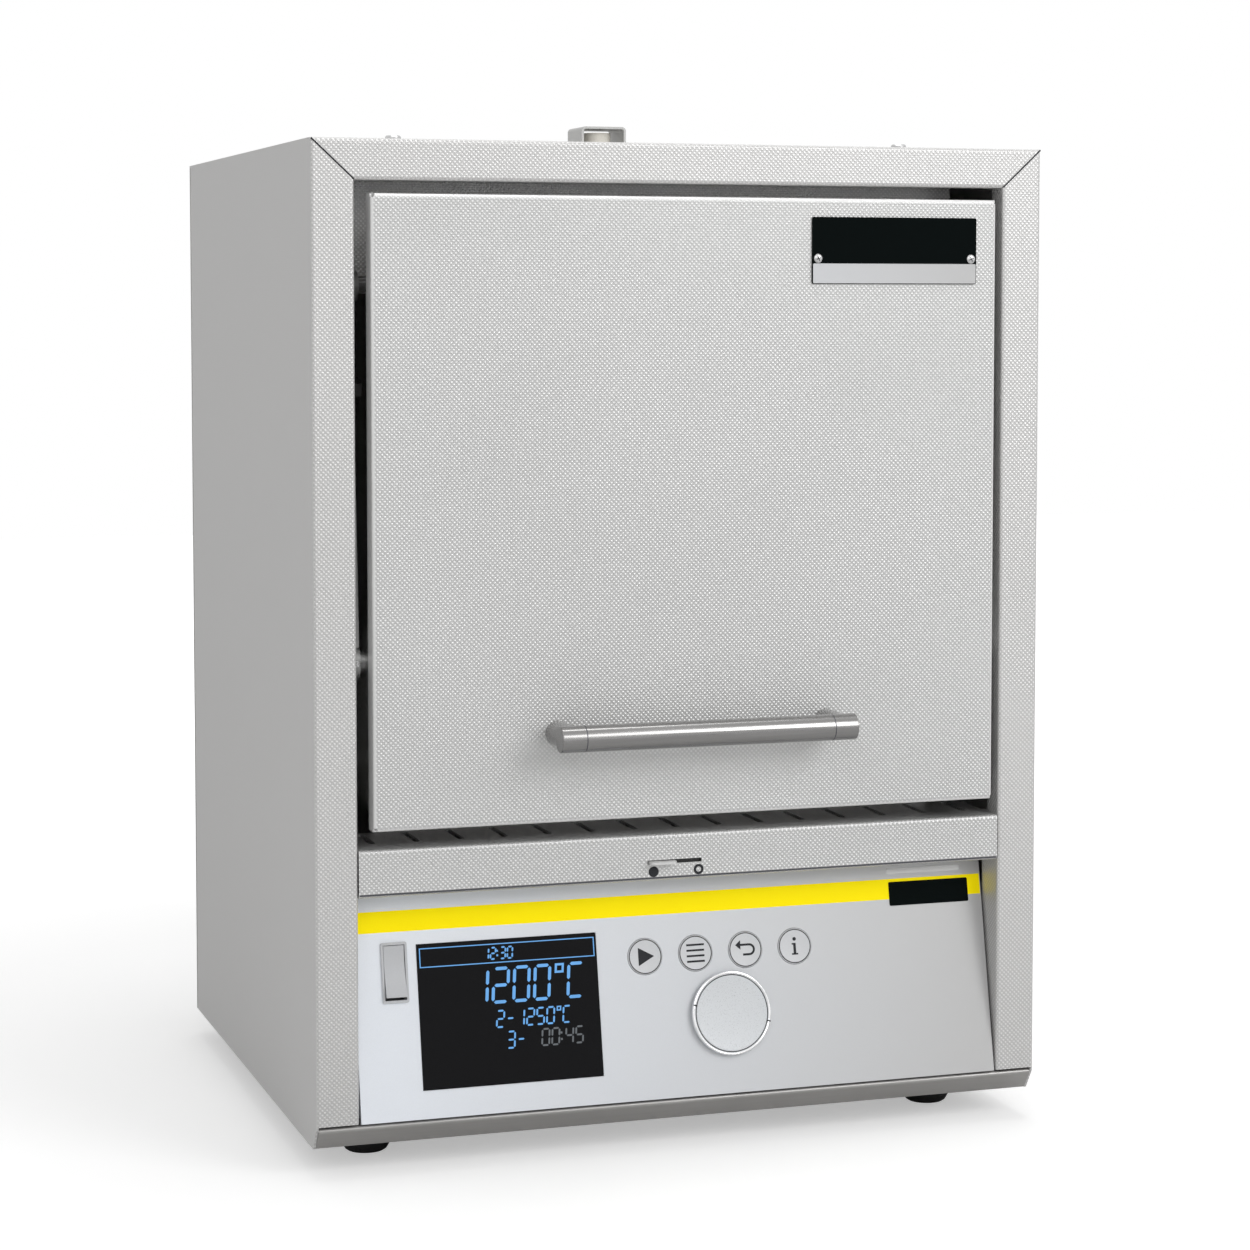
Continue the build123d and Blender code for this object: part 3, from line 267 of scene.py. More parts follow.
# ---- materials ----
def add_node(tree, kind, inputs=None, **options):
    """A node of this kind, with its options and its inputs: numbers or other nodes' outputs."""
    made = tree.nodes.new(kind)
    for key, value in options.items():
        setattr(made, key, value)
    for key, value in (inputs or {}).items():
        if isinstance(value, bpy.types.NodeSocket):
            tree.links.new(value, made.inputs[key])
        else:
            made.inputs[key].default_value = value
    return made


def calc(tree, operation, *values):
    """Output of a math node."""
    return add_node(tree, "ShaderNodeMath", dict(enumerate(values)), operation=operation).outputs[0]


def mixed(tree, share, one, other):
    """Colour between ONE and OTHER by SHARE."""
    made = add_node(tree, "ShaderNodeMix", {0: share, 6: one, 7: other}, data_type="RGBA")
    return made.outputs[2]


def levels(tree, value, low, high, to_low=0.0, to_high=1.0):
    """VALUE carried from one range to another and held within it."""
    inputs = {0: value, 1: low, 2: high, 3: to_low, 4: to_high}
    return add_node(tree, "ShaderNodeMapRange", inputs).outputs[0]


def parts(tree, vector):
    """The three parts of a vector."""
    return add_node(tree, "ShaderNodeSeparateXYZ", {0: vector}).outputs


def beyond(tree, value, limit):
    """1 where VALUE, whatever its sign, is larger than LIMIT, and 0 elsewhere."""
    return calc(tree, "GREATER_THAN", calc(tree, "ABSOLUTE", value), limit)


def wave(tree, value, pitch, kind="COSINE"):
    """Wave of this pitch in metres: the cosine or the sine of the turns that VALUE makes."""
    return calc(tree, kind, calc(tree, "MULTIPLY", value, 2 * pi / pitch))


def coordinates(tree, stretch=(1.0, 1.0, 1.0)):
    """Object coordinates, stretched along each axis."""
    source = add_node(tree, "ShaderNodeTexCoord").outputs["Object"]
    return add_node(tree, "ShaderNodeMapping", {"Vector": source, "Scale": stretch}).outputs[0]


def noise(tree, scale, detail=3.0, roughness=0.55, stretch=(1.0, 1.0, 1.0)):
    """Grey noise of this scale, in cells to the metre."""
    inputs = {"Vector": coordinates(tree, stretch), "Scale": scale, "Detail": detail, "Roughness": roughness}
    return add_node(tree, "ShaderNodeTexNoise", inputs).outputs[0]


def bump(tree, height, depth, strength=1.0):
    """Normal from a height of 0 to 1 that stands for DEPTH in metres."""
    inputs = {"Height": height, "Distance": depth, "Strength": strength}
    return add_node(tree, "ShaderNodeBump", inputs).outputs[0]


def shade(colour, factor):
    """A colour made lighter or darker, with its alpha."""
    return tuple(min(channel * factor, 1.0) for channel in colour[:3]) + (1.0,)


def toned(tree, value, low, high, colour, dark, light):
    """COLOUR from DARK to LIGHT times itself while VALUE goes from LOW to HIGH."""
    return mixed(tree, levels(tree, value, low, high), shade(colour, dark), shade(colour, light))


def new_material(name, metallic, roughness, **more):
    """A material with its shader's plain values set, and its tree."""
    material = bpy.data.materials.new(name)
    material.use_nodes = True
    values = {"Metallic": metallic, "Roughness": roughness, **more}
    for key, value in values.items():
        material.node_tree.nodes["Principled BSDF"].inputs[key.replace("_", " ")].default_value = value
    return material, material.node_tree


def finished(material, **sources):
    """The material, with these outputs joined to its shader's inputs of the same names."""
    tree = material.node_tree
    for key, source in sources.items():
        tree.links.new(source, tree.nodes["Principled BSDF"].inputs[key.replace("_", " ")])
    return material


# A face belongs to a side or the roof when its normal's part along X or Z is larger than FACING, and to
# an outer wall when it also lies within WALL_REACH of the casing's side.
FACING = 0.7
WALL_REACH = 8 * MM


def embossed_steel(name, colour, pitch, depth, wall=(1.0, 1.0), bend_highlight=None, metallic=0.45):
    """Lacquered steel rolled with a lattice of round pips.

    The height is the cosine across times the cosine up, so pips stand at the corners and the
    middles of squares of one pitch; on a side face or the roof the lattice lies in that face.
    WALL is the share of relief and sheen left on the outer walls and the roof, and their tone.
    BEND_HIGHLIGHT, if given, is the tone of folded edges, where the pips are pressed flat; a lighter
    tone there is a painted highlight for the light that the bends catch."""
    material, tree = new_material(name, metallic, 0.36)
    share, tone = wall
    x, y, z = parts(tree, coordinates(tree))
    normal = parts(tree, add_node(tree, "ShaderNodeNewGeometry").outputs["Normal"])
    on_side, on_roof = beyond(tree, normal[0], FACING), beyond(tree, normal[2], FACING)
    at_wall = calc(tree, "MULTIPLY", on_side, beyond(tree, x, CASING_HALF - WALL_REACH))
    outer = calc(tree, "MAXIMUM", at_wall, on_roof)
    kept = levels(tree, outer, 0, 1, 1.0, share)
    across = calc(tree, "MULTIPLY_ADD", on_side, calc(tree, "SUBTRACT", y, x), x)
    up = calc(tree, "MULTIPLY_ADD", on_roof, calc(tree, "SUBTRACT", y, z), z)
    lattice = calc(tree, "MULTIPLY", wave(tree, across, pitch), wave(tree, up, pitch))
    pips = levels(tree, lattice, -0.1, 0.95)
    grain = noise(tree, 900, 2)
    rolled = toned(tree, noise(tree, 9, 2), 0.3, 0.7, colour, 0.97, 1.02)
    rolled = mixed(tree, outer, rolled, shade(colour, tone))
    # Painted highlight: folded edges take a lighter copy of the colour for the light the bends catch.
    if bend_highlight:
        bend = levels(tree, calc(tree, "ABSOLUTE", normal[1]), 0.98, 0.85)
        rolled = mixed(tree, bend, rolled, shade(colour, bend_highlight))
        kept = calc(tree, "MULTIPLY", kept, calc(tree, "SUBTRACT", 1.0, bend))
    # Painted shade: the colour is darkened towards black in the hollows between the pips.
    hollow = mixed(tree, 0.3, rolled, (0.0, 0.0, 0.0, 1))
    hollow_shade_share = calc(tree, "MULTIPLY", calc(tree, "SUBTRACT", 0.7, pips), kept)
    height = calc(tree, "MULTIPLY_ADD", pips, kept, calc(tree, "MULTIPLY", grain, 0.06))
    dull = calc(tree, "MULTIPLY", outer, 0.3 * (1.0 - share))
    return finished(
        material,
        Base_Color=mixed(tree, hollow_shade_share, rolled, hollow),
        Metallic=levels(tree, outer, 0, 1, metallic, metallic * share),
        Roughness=calc(tree, "ADD", levels(tree, grain, 0.3, 0.7, 0.32, 0.41), dull),
        Normal=bump(tree, height, depth),
    )


def sheet_steel(name, colour, stretch=(1.0, 1.0, 1.0), metallic=0.6, roughness=0.36, streak=0.06):
    """Plain sheet: long faint streaks along the rolling direction and cloudy tone."""
    material, tree = new_material(name, metallic, roughness)
    streaks = noise(tree, 600, 3, stretch=stretch)
    cloudy = toned(tree, noise(tree, 14, 3), 0.3, 0.7, colour, 0.93, 1.05)
    fine = toned(tree, streaks, 0.35, 0.65, colour, 1 - streak, 1 + streak)
    return finished(
        material,
        Base_Color=mixed(tree, 0.5, cloudy, fine),
        Roughness=levels(tree, streaks, 0.3, 0.7, roughness - 0.06, roughness + 0.08),
        Normal=bump(tree, streaks, 0.00001, 0.5),
    )


def shutter_steel(name, colour):
    """Air shutter: bright on its tab; on the plate behind the strip, painted shade in near black."""
    material, tree = new_material(name, 0.6, 0.4)
    depth = parts(tree, coordinates(tree))[1]
    # Painted shade: everything behind the front strip takes a near-black, non-metallic colour for the shade
    # there.
    behind = calc(tree, "GREATER_THAN", depth, FRONT_Y + 0.6 * MM)
    streaks = noise(tree, 600, 3, stretch=(0.05, 1.0, 1.0))
    bright = toned(tree, streaks, 0.35, 0.65, colour, 0.95, 1.05)
    return finished(
        material,
        Base_Color=mixed(tree, behind, bright, (0.008, 0.008, 0.008, 1)),
        Metallic=levels(tree, behind, 0, 1, 0.6, 0.0),
    )


def fibre_board(name, colour):
    """Pressed ceramic fibre: matted fibres, small pits and faint sandy patches."""
    material, tree = new_material(name, 0.0, 0.95)
    matted = noise(tree, 420, 6, 0.7, (1.0, 1.0, 3.0))
    pits = add_node(tree, "ShaderNodeTexVoronoi", {"Vector": coordinates(tree), "Scale": 160.0}).outputs[0]
    sandy = toned(tree, noise(tree, 22, 3), 0.35, 0.7, colour, 1.0, 0.9)
    fine = toned(tree, matted, 0.35, 0.65, colour, 0.9, 1.05)
    height = calc(tree, "MULTIPLY_ADD", levels(tree, pits, 0.0, 0.25), 0.5, matted)
    relief = bump(tree, height, 0.0006, 0.8)
    return finished(material, Base_Color=mixed(tree, 0.5, sandy, fine), Normal=relief)


def moulded(name, colour, roughness, grain, depth, metallic=0.0, speckle=0.04, specular=0.5, glow=0.0):
    """Moulded or fired surface: a fine grain in its tone and relief, and a painted glow, a light of
    its own though it is no lamp, if GLOW is given.
    """
    light = {"Emission_Color": colour, "Emission_Strength": glow} if glow else {}
    material, tree = new_material(name, metallic, roughness, Specular_IOR_Level=specular, **light)
    fine = noise(tree, grain, 3)
    tone = toned(tree, fine, 0.35, 0.65, colour, 1 - speckle, 1 + speckle)
    soft = toned(tree, noise(tree, 30, 2), 0.3, 0.7, colour, 0.97, 1.03)
    return finished(
        material,
        Base_Color=mixed(tree, 0.5, tone, soft),
        Roughness=levels(tree, fine, 0.3, 0.7, roughness - 0.05, roughness + 0.06),
        Normal=bump(tree, fine, depth),
    )


def laminated(name, colour, pitch):
    """Stacked core sheets: a dark line at each sheet's edge, one pitch apart along Y."""
    material, tree = new_material(name, 0.7, 0.45)
    edge = wave(tree, parts(tree, coordinates(tree))[1], pitch, "SINE")
    sheets = toned(tree, edge, -0.5, 0.8, colour, 0.45, 1.1)
    rust = levels(tree, noise(tree, 60, 4), 0.5, 0.8, 0.0, 0.5)
    return finished(
        material, Base_Color=mixed(tree, rust, sheets, (0.2, 0.12, 0.08, 1)), Normal=bump(tree, edge, 0.0001)
    )


def panel_film(name, left_sheen, warm):
    """Satin front film, greyer towards its right end; its lighter, bluer left end is a painted reflection."""
    material, tree = new_material(name, 0.1, 0.34)
    share = levels(tree, parts(tree, coordinates(tree))[0], -0.15, 0.16)
    grain = noise(tree, 1800, 2)
    fleck = levels(tree, grain, 0.4, 0.6, 0.0, 0.05)
    return finished(
        material,
        Base_Color=mixed(tree, fleck, mixed(tree, share, left_sheen, warm), (0.5, 0.5, 0.5, 1)),
        Roughness=levels(tree, grain, 0.3, 0.7, 0.31, 0.38),
        Normal=bump(tree, grain, 0.000008),
    )


def glowing(name, colour):
    """Lit segments behind the glass: their own light with a faint unevenness."""
    material, tree = new_material(name, 0.0, 0.3, Emission_Strength=1.0, Base_Color=shade(colour, 0.2))
    return finished(material, Emission_Color=toned(tree, noise(tree, 120, 2), 0.3, 0.7, colour, 0.9, 1.06))


ALONG_X = (0.05, 1.0, 1.0)
UPRIGHT = (1.0, 1.0, 0.03)


def make_materials(colours, sizes):
    """Every finish by its name: each row holds what its maker takes after the name, in order."""
    pitch, depth = sizes.emboss_pitch, sizes.emboss_depth
    rows = {
        embossed_steel: {
            # The door's folded edges are 1.25 times lighter: a painted highlight.
            "door_steel": (colours.front_steel, pitch, depth, (1.0, 1.0), 1.25),
            "front_steel": (colours.front_steel, pitch, depth),
            "casing_steel": (colours.casing_steel, pitch, depth * 0.7, (0.1, 1.0)),
            # Painted light: the casing's colour made 1.2 times lighter for the front plate, seen in shade
            # deep in the gaps.
            "gap_steel": (shade(colours.casing_steel, 1.2), pitch, depth, (1.0, 1.0), None, 0.95),
        },
        sheet_steel: {
            "lip_steel": (colours.lip_steel, ALONG_X, 0.5, 0.34),
            "rear_steel": (colours.rear_steel, (1.0, 1.0, 0.05), 0.3, 0.45, 0.03),
            "inner_steel": (colours.inner_steel, ALONG_X, 0.85, 0.33),
            "handle_steel": (colours.handle_steel, (0.02, 1.0, 1.0), 1.0, 0.17, 0.1),
            "screw_steel": (colours.screw_steel, (1.0, 1.0, 0.1), 1.0, 0.28),
            # Dark steel of the handle's seams, and painted shadow along the sill's lower edge.
            "spring_steel": ((0.1, 0.1, 0.11, 1), (0.1, 1.0, 1.0), 0.8, 0.35),
            "bright_steel": ((0.92, 0.92, 0.93, 1), (1.0, 1.0, 1.0), 0.9, 0.16),
            "fins": ((0.62, 0.62, 0.63, 1), UPRIGHT, 0.9, 0.3),
        },
        moulded: {
            "alumina": (colours.alumina, 0.7, 700.0, 0.0001),
            "element": ((0.06, 0.06, 0.065, 1), 0.25, 500.0, 0.00005, 0.3, 0.15),
            # The stripe glows at 0.2, its last value: painted light that makes its yellow brighter.
            "stripe": (colours.stripe, 0.5, 1800.0, 0.00001, 0.0, 0.04, 0.1, 0.2),
            "ink": (colours.ink, 0.5, 1800.0, 0.00001, 0.0, 0.08, 0.1),
            "plate": (colours.plate, 0.55, 900.0, 0.00001, 0.0, 0.1, 0.01),
            "key": (colours.key, 0.32, 1500.0, 0.00001),
            "dial": (colours.dial, 0.3, 2500.0, 0.000002, 0.25, 0.015),
            "rocker": (colours.rocker, 0.36, 1500.0, 0.00001),
            "glass": (colours.glass, 0.16, 2500.0, 0.000002, 0.0, 0.3, 0.07),
            "dark": ((0.018, 0.018, 0.019, 1), 0.5, 1200.0, 0.00003, 0.0, 0.12),
            "rubber": ((0.012, 0.012, 0.012, 1), 0.6, 900.0, 0.00005, 0.0, 0.15),
        },
        shutter_steel: {"shutter_steel": (colours.front_steel,)},
        fibre_board: {"fibre": (colours.fibre,)},
        laminated: {"core": ((0.18, 0.17, 0.16, 1), 0.5 * MM)},
        panel_film: {"film": (colours.film_left_sheen, colours.film_warm)},
        glowing: {"lit": (colours.lit,), "unlit": (colours.unlit,)},
    }
    return {
        name: maker(name, *values) for maker, finishes in rows.items() for name, values in finishes.items()
    }


NODE_FINISH = {
    "door_steel": ["door_shell"],
    "front_steel": ["fascia_sill"],
    "casing_steel": ["casing_roof", *both("casing")],
    "gap_steel": ["front_plate"],
    "lip_steel": ["base_pan"],
    "rear_steel": ["rear_panel", "rear_cover", "exhaust_hood"],
    "inner_steel": [
        "inner_case", "door_back_plate", "air_inlet_tube",
        *both("door_bracket", "hinge_plate", "upper_arm", "lower_arm"),
    ],
    "handle_steel": ["handle_bar", *both("handle_end")],
    "bright_steel": ["torsion_shaft"],
    "shutter_steel": ["air_inlet_slide"],
    "screw_steel": ["roof_screws"],
    "fibre": [
        "insulation_collar", "insulation_floor", "insulation_roof", "insulation_back", "door_insulation",
        *both("insulation"),
    ],
    "alumina": ["chamber_floor_plate", "exhaust_pipe", "thermocouple", "element_clamps"],
    "element": both("heating_elements"),
    "film": ["control_panel"],
    "plate": ["name_plate"],
    "key": ["button_start", "button_menu", "button_back", "button_info"],
    "dial": ["dial"],
    "rocker": ["rocker_key", "rocker_frame"],
    "glass": ["display_module"],
    "dark": ["mains_inlet", "fan_frame", "fan_rotor", "dial_encoder"],
    "rubber": both("foot_front", "foot_rear"),
    "core": ["transformer"],
    "fins": ["power_unit"],
}


# ---- small fittings ----
def screw_head(place, radius, height, socket=0.45):
    """Socket screw's head: rounded rim, flat top and a six-sided recess with a floor."""
    rim = [(radius, 0), (radius, height * 0.75), (radius * 0.93, height * 0.95), (radius * 0.8, height)]
    key = radius * socket
    body = lathe(place, rim + [(key * 1.15, height)], 24)
    hexagon = [(key * 1.15, height), (key, height * 0.96), (key, height * 0.45), (0, height * 0.4)]
    recess = lathe(place, hexagon, 6)
    under = lathe(place, [(0, 0), (radius, 0)], 24)
    return together(body, recess, under)


def pan_head(place, radius, height):
    """Domed screw head; cross_mark lays the painted shade of its crossed recess on it."""
    dome = np.array([(1, 0), (1, 0.3), (0.85, 0.72), (0.5, 0.95), (0, 1)]) * [radius, height]
    head = lathe(place, dome, 24)
    under = lathe(place, [(0, 0), (radius, 0)], 24)
    return together(head, under)


def cross_mark(place, radius, height):
    """Painted shade of a domed head's crossed recess: two short dark bars, a hair above the dome."""
    bar = rectangle(-radius * 0.55, radius * 0.55, -radius * 0.11, radius * 0.11)
    turns = (0.4, 0.4 + pi / 2)
    return together(*[slab(place.turned(turn), bar, 0.05 * MM, height * 0.98) for turn in turns])


def washer(place, inner, outer, thickness):
    """Flat ring with a chamfer at its outer edge."""
    edge = thickness * 0.3
    rim = [(outer, 0), (outer, thickness - edge), (outer - edge, thickness)]
    return lathe(place, [(inner, 0), *rim, (inner, thickness), (inner, 0)], 32)


# Radius and height of the head of each kind of screw.
SHEET_SCREW = (3.0 * MM, 1.8 * MM)
COVER_SCREW = (3.0 * MM, 1.9 * MM)
PLATE_SCREW = (2.3 * MM, 0.9 * MM)
FOOT_SCREW = (3.4 * MM, 2.6 * MM)
SET_SCREW = (1.7 * MM, 1.5 * MM)


def lay_screws(name, spots, radius, height, body="housing", head=pan_head, crossed=False):
    """One piece of like screws at these places and, if they are crossed, one of their recesses' painted
    shade.
    """
    shells = [head(spot, radius, height) for spot in spots]
    make_piece(name, together(*shells), "screw_steel", body, smooth=True)
    if crossed:
        shells = [cross_mark(spot, radius, height) for spot in spots]
        make_piece(f"{name[:-1]}_marks", together(*shells), "ink", body)


# ---- segments of the readout ----
SEGMENT_ENDS = {
    "a": ((0, 2), (1, 2)),
    "b": ((1, 2), (1, 1)),
    "c": ((1, 1), (1, 0)),
    "d": ((0, 0), (1, 0)),
    "e": ((0, 1), (0, 0)),
    "f": ((0, 2), (0, 1)),
    "g": ((0, 1), (1, 1)),
}
GLYPHS = {
    "0": "abcdef", "1": "bc", "2": "abged", "3": "abgcd", "4": "fgbc", "5": "afgcd",
    "6": "afgedc", "7": "abc", "8": "abcdefg", "9": "abcdfg", "C": "adef", "-": "g",
}
SEGMENT_SLANT = 0.09
DIGIT_ADVANCE = 1.42
LIT_HEIGHT = 0.02 * MM


def segment(place, start, end, stroke):
    """One lit bar: a six-sided outline with pointed ends, short of the cell's corners."""
    start, end = np.array(start), np.array(end)
    along = (end - start) / np.linalg.norm(end - start)
    across = np.array([-along[1], along[0]]) * stroke / 2
    gap, point = stroke * 0.32, stroke * 0.5
    tail, head = start + along * gap, end - along * gap
    tail_in, head_in = tail + along * point, head - along * point
    outline = [tail, tail_in - across, head_in - across, head, head_in + across, tail_in + across]
    outline = np.array(outline)
    outline[:, 0] += outline[:, 1] * SEGMENT_SLANT
    return slab(place, outline, LIT_HEIGHT)


def readout(place, text, height, stroke):
    """A row of characters as lit bars, from its lower left corner.

    A cell is half as wide as it is high and the whole row slants to the right."""
    cell = height * 0.46
    shells, left = [], 0.0
    for letter in text:
        spot = place.moved(left, 0)
        if letter == ":":
            for level in (0.3, 0.7):
                side = stroke * 0.55
                dot = rectangle(-side, side, height * level - side, height * level + side)
                shells.append(slab(spot, dot, LIT_HEIGHT))
            left += cell * 0.55
        elif letter == "o":
            side = height * 0.11
            path = np.array(rectangle(0, side * 2, height - side * 2, height))
            path[:, 0] += path[:, 1] * SEGMENT_SLANT
            shells.append(ribbon(spot, path, stroke * 0.7, LIT_HEIGHT, closed=True))
            left += cell * 0.9
        elif letter == " ":
            left += cell * 0.7
        else:
            for name in GLYPHS[letter]:
                ends = [(x * cell, y * height / 2) for x, y in SEGMENT_ENDS[name]]
                shells.append(segment(spot, *ends, stroke))
            left += cell * DIGIT_ADVANCE
    return together(*shells)


# ---- what a user may change ----
def colour_property(name, description, default):
    """A colour with its alpha, as a property."""
    return FloatVectorProperty(
        name=name, description=description, subtype="COLOR", size=4, min=0.0, max=1.0, default=(*default, 1.0)
    )


def number_property(name, description, default, unit="NONE"):
    """A number, as a property."""
    return FloatProperty(name=name, description=description, default=default, unit=unit, precision=5)


def length_property(name, description, default_mm):
    """A length in metres, as a property, from its default in millimetres."""
    return number_property(name, description, default_mm * MM, "LENGTH")


class FurnaceColours(bpy.types.PropertyGroup):
    """Colours of the furnace's finishes."""

    front_steel: colour_property("Front steel", "Door and fascia", (0.685, 0.685, 0.68))
    casing_steel: colour_property("Casing steel", "Side panels and roof", (0.705, 0.70, 0.693))
    lip_steel: colour_property("Base pan", "Slanting lip and underside", (0.375, 0.367, 0.357))
    rear_steel: colour_property("Rear steel", "Rear panel and cover", (0.5, 0.5, 0.49))
    inner_steel: colour_property("Inner steel", "Sheet and links behind the door", (0.42, 0.42, 0.415))
    handle_steel: colour_property("Handle", "Handle bar and its ends", (0.29, 0.286, 0.282))
    screw_steel: colour_property("Screws", "Screw heads and pins", (0.55, 0.55, 0.55))
    fibre: colour_property("Fibre board", "Insulation", (0.84, 0.81, 0.75))
    alumina: colour_property("Alumina", "Floor plate, pipe and clamps", (0.8, 0.77, 0.7))
    # The film's lighter, bluer left end is a painted reflection.
    film_left_sheen: colour_property("Film, left", "Control panel at its left end", (0.84, 0.875, 0.93))
    film_warm: colour_property("Film, right", "Control panel at its right end", (0.54, 0.54, 0.54))
    stripe: colour_property("Stripe", "Stripe over the control panel", (1.0, 0.8, 0.0))
    # Printed marks, and painted shade: mitre lines, screw recesses, the dial's groove and notches, and the
    # keys' rings.
    ink: colour_property("Ink", "Printed marks", (0.035, 0.036, 0.04))
    plate: colour_property("Plate", "Bare plates", (0.004, 0.006, 0.006))
    key: colour_property("Keys", "The four keys", (0.68, 0.69, 0.71))
    dial: colour_property("Dial", "Turn-and-push dial", (0.66, 0.68, 0.7))
    rocker: colour_property("Rocker", "Rocker switch", (0.55, 0.56, 0.58))
    glass: colour_property("Display", "Display window", (0.008, 0.008, 0.009))
    lit: colour_property("Lit segments", "Readout", (0.11, 0.34, 0.70))
    unlit: colour_property("Dim segments", "Readout's dim figures", (0.09, 0.10, 0.11))


class FurnaceSizes(bpy.types.PropertyGroup):
    """Sizes of what is laid on the furnace's pieces."""

    emboss_pitch: length_property("Pip pitch", "Side of one square of the rolled lattice", 2.4)
    emboss_depth: length_property("Pip height", "Height of the rolled pips", 0.17)
    print_height: length_property("Print height", "Thickness of a printed mark", 0.06)
    stripe_low: length_property("Stripe, lower edge", "Up the control panel", 92.5)
    stripe_high: length_property("Stripe, upper edge", "Up the control panel", 103.0)
    digit_height: length_property("Main figures", "Height of the display's large figures", 16.5)
    small_digit: length_property("Small figures", "Height of the display's small figures", 8.0)
    cover_screws: IntProperty(
        name="Cover screws", description="Screws up each side of the rear cover", default=4
    )


class FurnaceStage(bpy.types.PropertyGroup):
    """Camera and lamps."""

    lens: number_property("Lens", "Focal length", 87.587, "CAMERA")
    azimuth: number_property("Azimuth", "Turn of the view from straight ahead", radians(18.205), "ROTATION")
    pitch: number_property("Pitch", "Tilt of the view", radians(-3.674), "ROTATION")
    shift: number_property("Shift", "Vertical lens shift", -0.10)
    camera_place: FloatVectorProperty(
        name="Camera", description="Where the camera stands", subtype="TRANSLATION",
        default=(-0.50616, -1.61133, 0.42887),
    )
    key_power: number_property("Key lamp", "Power of the large lamp at the right", 25.0, "POWER")
    fill_power: number_property("Fill lamp", "Power of the lamp at the left", 7.5, "POWER")
    top_power: number_property("Top lamp", "Power of the lamp overhead", 12.0, "POWER")
    ambient: number_property("Ambient", "Strength of the room's even light", 0.44)


GROUPS = {"furnace_colours": FurnaceColours, "furnace_sizes": FurnaceSizes, "furnace_stage": FurnaceStage}


def settings():
    """The three groups of settings."""
    return [getattr(bpy.context.scene, name) for name in GROUPS]


# ---- operators ----
class FURNACE_OT_stage(bpy.types.Operator):
    """Camera, lamps, pale floor and white surroundings"""

    bl_idname = "furnace.stage"
    bl_label = "Stage"

    def execute(self, context):
        stage = settings()[2]
        self.add_camera(stage)
        self.add_lamp("key_lamp", (1.4, -2.2, 1.5), 1.6, stage.key_power)
        self.add_lamp("fill_lamp", (-0.9, -2.3, 1.5), 1.4, stage.fill_power)
        self.add_lamp("top_lamp", (0.15, 0.1, 2.2), 1.2, stage.top_power)
        self.add_world(stage.ambient)
        self.add_floor()
        return {"FINISHED"}

    def stand(self, name, data, place, ahead):
        """An object for the camera or a lamp, which stands at PLACE and looks along AHEAD."""
        holder = bpy.data.objects.new(name, data)
        holder.location = place
        holder.rotation_mode = "QUATERNION"
        holder.rotation_quaternion = ahead.to_track_quat("-Z", "Y")
        bpy.context.scene.collection.objects.link(holder)
        return holder

    def add_camera(self, stage):
        """Camera whose lens is shifted, so that it looks almost level."""
        camera = bpy.data.cameras.new("camera")
        camera.lens = stage.lens
        camera.sensor_width = 36.0
        camera.shift_y = stage.shift
        camera.clip_end = 50.0
        flat = cos(stage.pitch)
        ahead = Vector((sin(stage.azimuth) * flat, cos(stage.azimuth) * flat, sin(stage.pitch)))
        bpy.context.scene.camera = self.stand("camera", camera, stage.camera_place, ahead)
        bpy.context.scene.view_settings.view_transform = "Standard"

    def add_lamp(self, name, place, size, power):
        """Round lamp that shines at the furnace's middle."""
        lamp = bpy.data.lights.new(name, "AREA")
        lamp.shape = "DISK"
        lamp.size = size
        lamp.energy = power
        self.stand(name, lamp, place, Vector((0, 0, 0.25)) - Vector(place))

    def add_world(self, ambient):
        """Even light for the object; white for what the camera, gloss and glass see."""
        world = bpy.data.worlds.new("studio")
        world.use_nodes = True
        tree = world.node_tree
        tree.nodes.clear()
        path = add_node(tree, "ShaderNodeLightPath")
        seen = calc(tree, "MAXIMUM", path.outputs["Is Camera Ray"], path.outputs["Is Glossy Ray"])
        seen = calc(tree, "MAXIMUM", seen, path.outputs["Is Transmission Ray"])
        even = add_node(tree, "ShaderNodeBackground", {"Color": (1, 1, 1, 1), "Strength": ambient})
        white = add_node(tree, "ShaderNodeBackground", {"Color": (1, 1, 1, 1), "Strength": 1.0})
        both = add_node(tree, "ShaderNodeMixShader", {0: seen, 1: even.outputs[0], 2: white.outputs[0]})
        add_node(tree, "ShaderNodeOutputWorld", {0: both.outputs[0]})
        bpy.context.scene.world = world

    def add_floor(self):
        """Flat pale floor that looks white and keeps the shadow."""
        reach = 4.0
        points = np.array([(-reach, -reach, 0), (reach, -reach, 0), (reach, reach, 0), (-reach, reach, 0)])
        mesh = bpy.data.meshes.new("floor")
        mesh.from_pydata(points.tolist(), [], [[0, 1, 2, 3]])
        floor = bpy.data.objects.new("floor", mesh)
        material = bpy.data.materials.new("floor")
        material.use_nodes = True
        tree = material.node_tree
        tree.nodes.clear()
        path = add_node(tree, "ShaderNodeLightPath")
        matt = add_node(tree, "ShaderNodeBsdfDiffuse", {"Color": (0.8, 0.8, 0.8, 1)})
        place = add_node(tree, "ShaderNodeTexCoord").outputs["Object"]
        distance = add_node(tree, "ShaderNodeVectorMath", {0: place}, operation="LENGTH").outputs["Value"]
        share = levels(tree, distance, 0.45, 1.5, 0.42, 0.85)
        lift = calc(tree, "MULTIPLY", path.outputs["Is Camera Ray"], share)
        glow = add_node(tree, "ShaderNodeEmission", {"Color": (1, 1, 1, 1), "Strength": lift})
        both = add_node(tree, "ShaderNodeAddShader", {0: matt.outputs[0], 1: glow.outputs[0]})
        add_node(tree, "ShaderNodeOutputMaterial", {0: both.outputs[0]})
        mesh.materials.append(material)
        bpy.context.scene.collection.objects.link(floor)


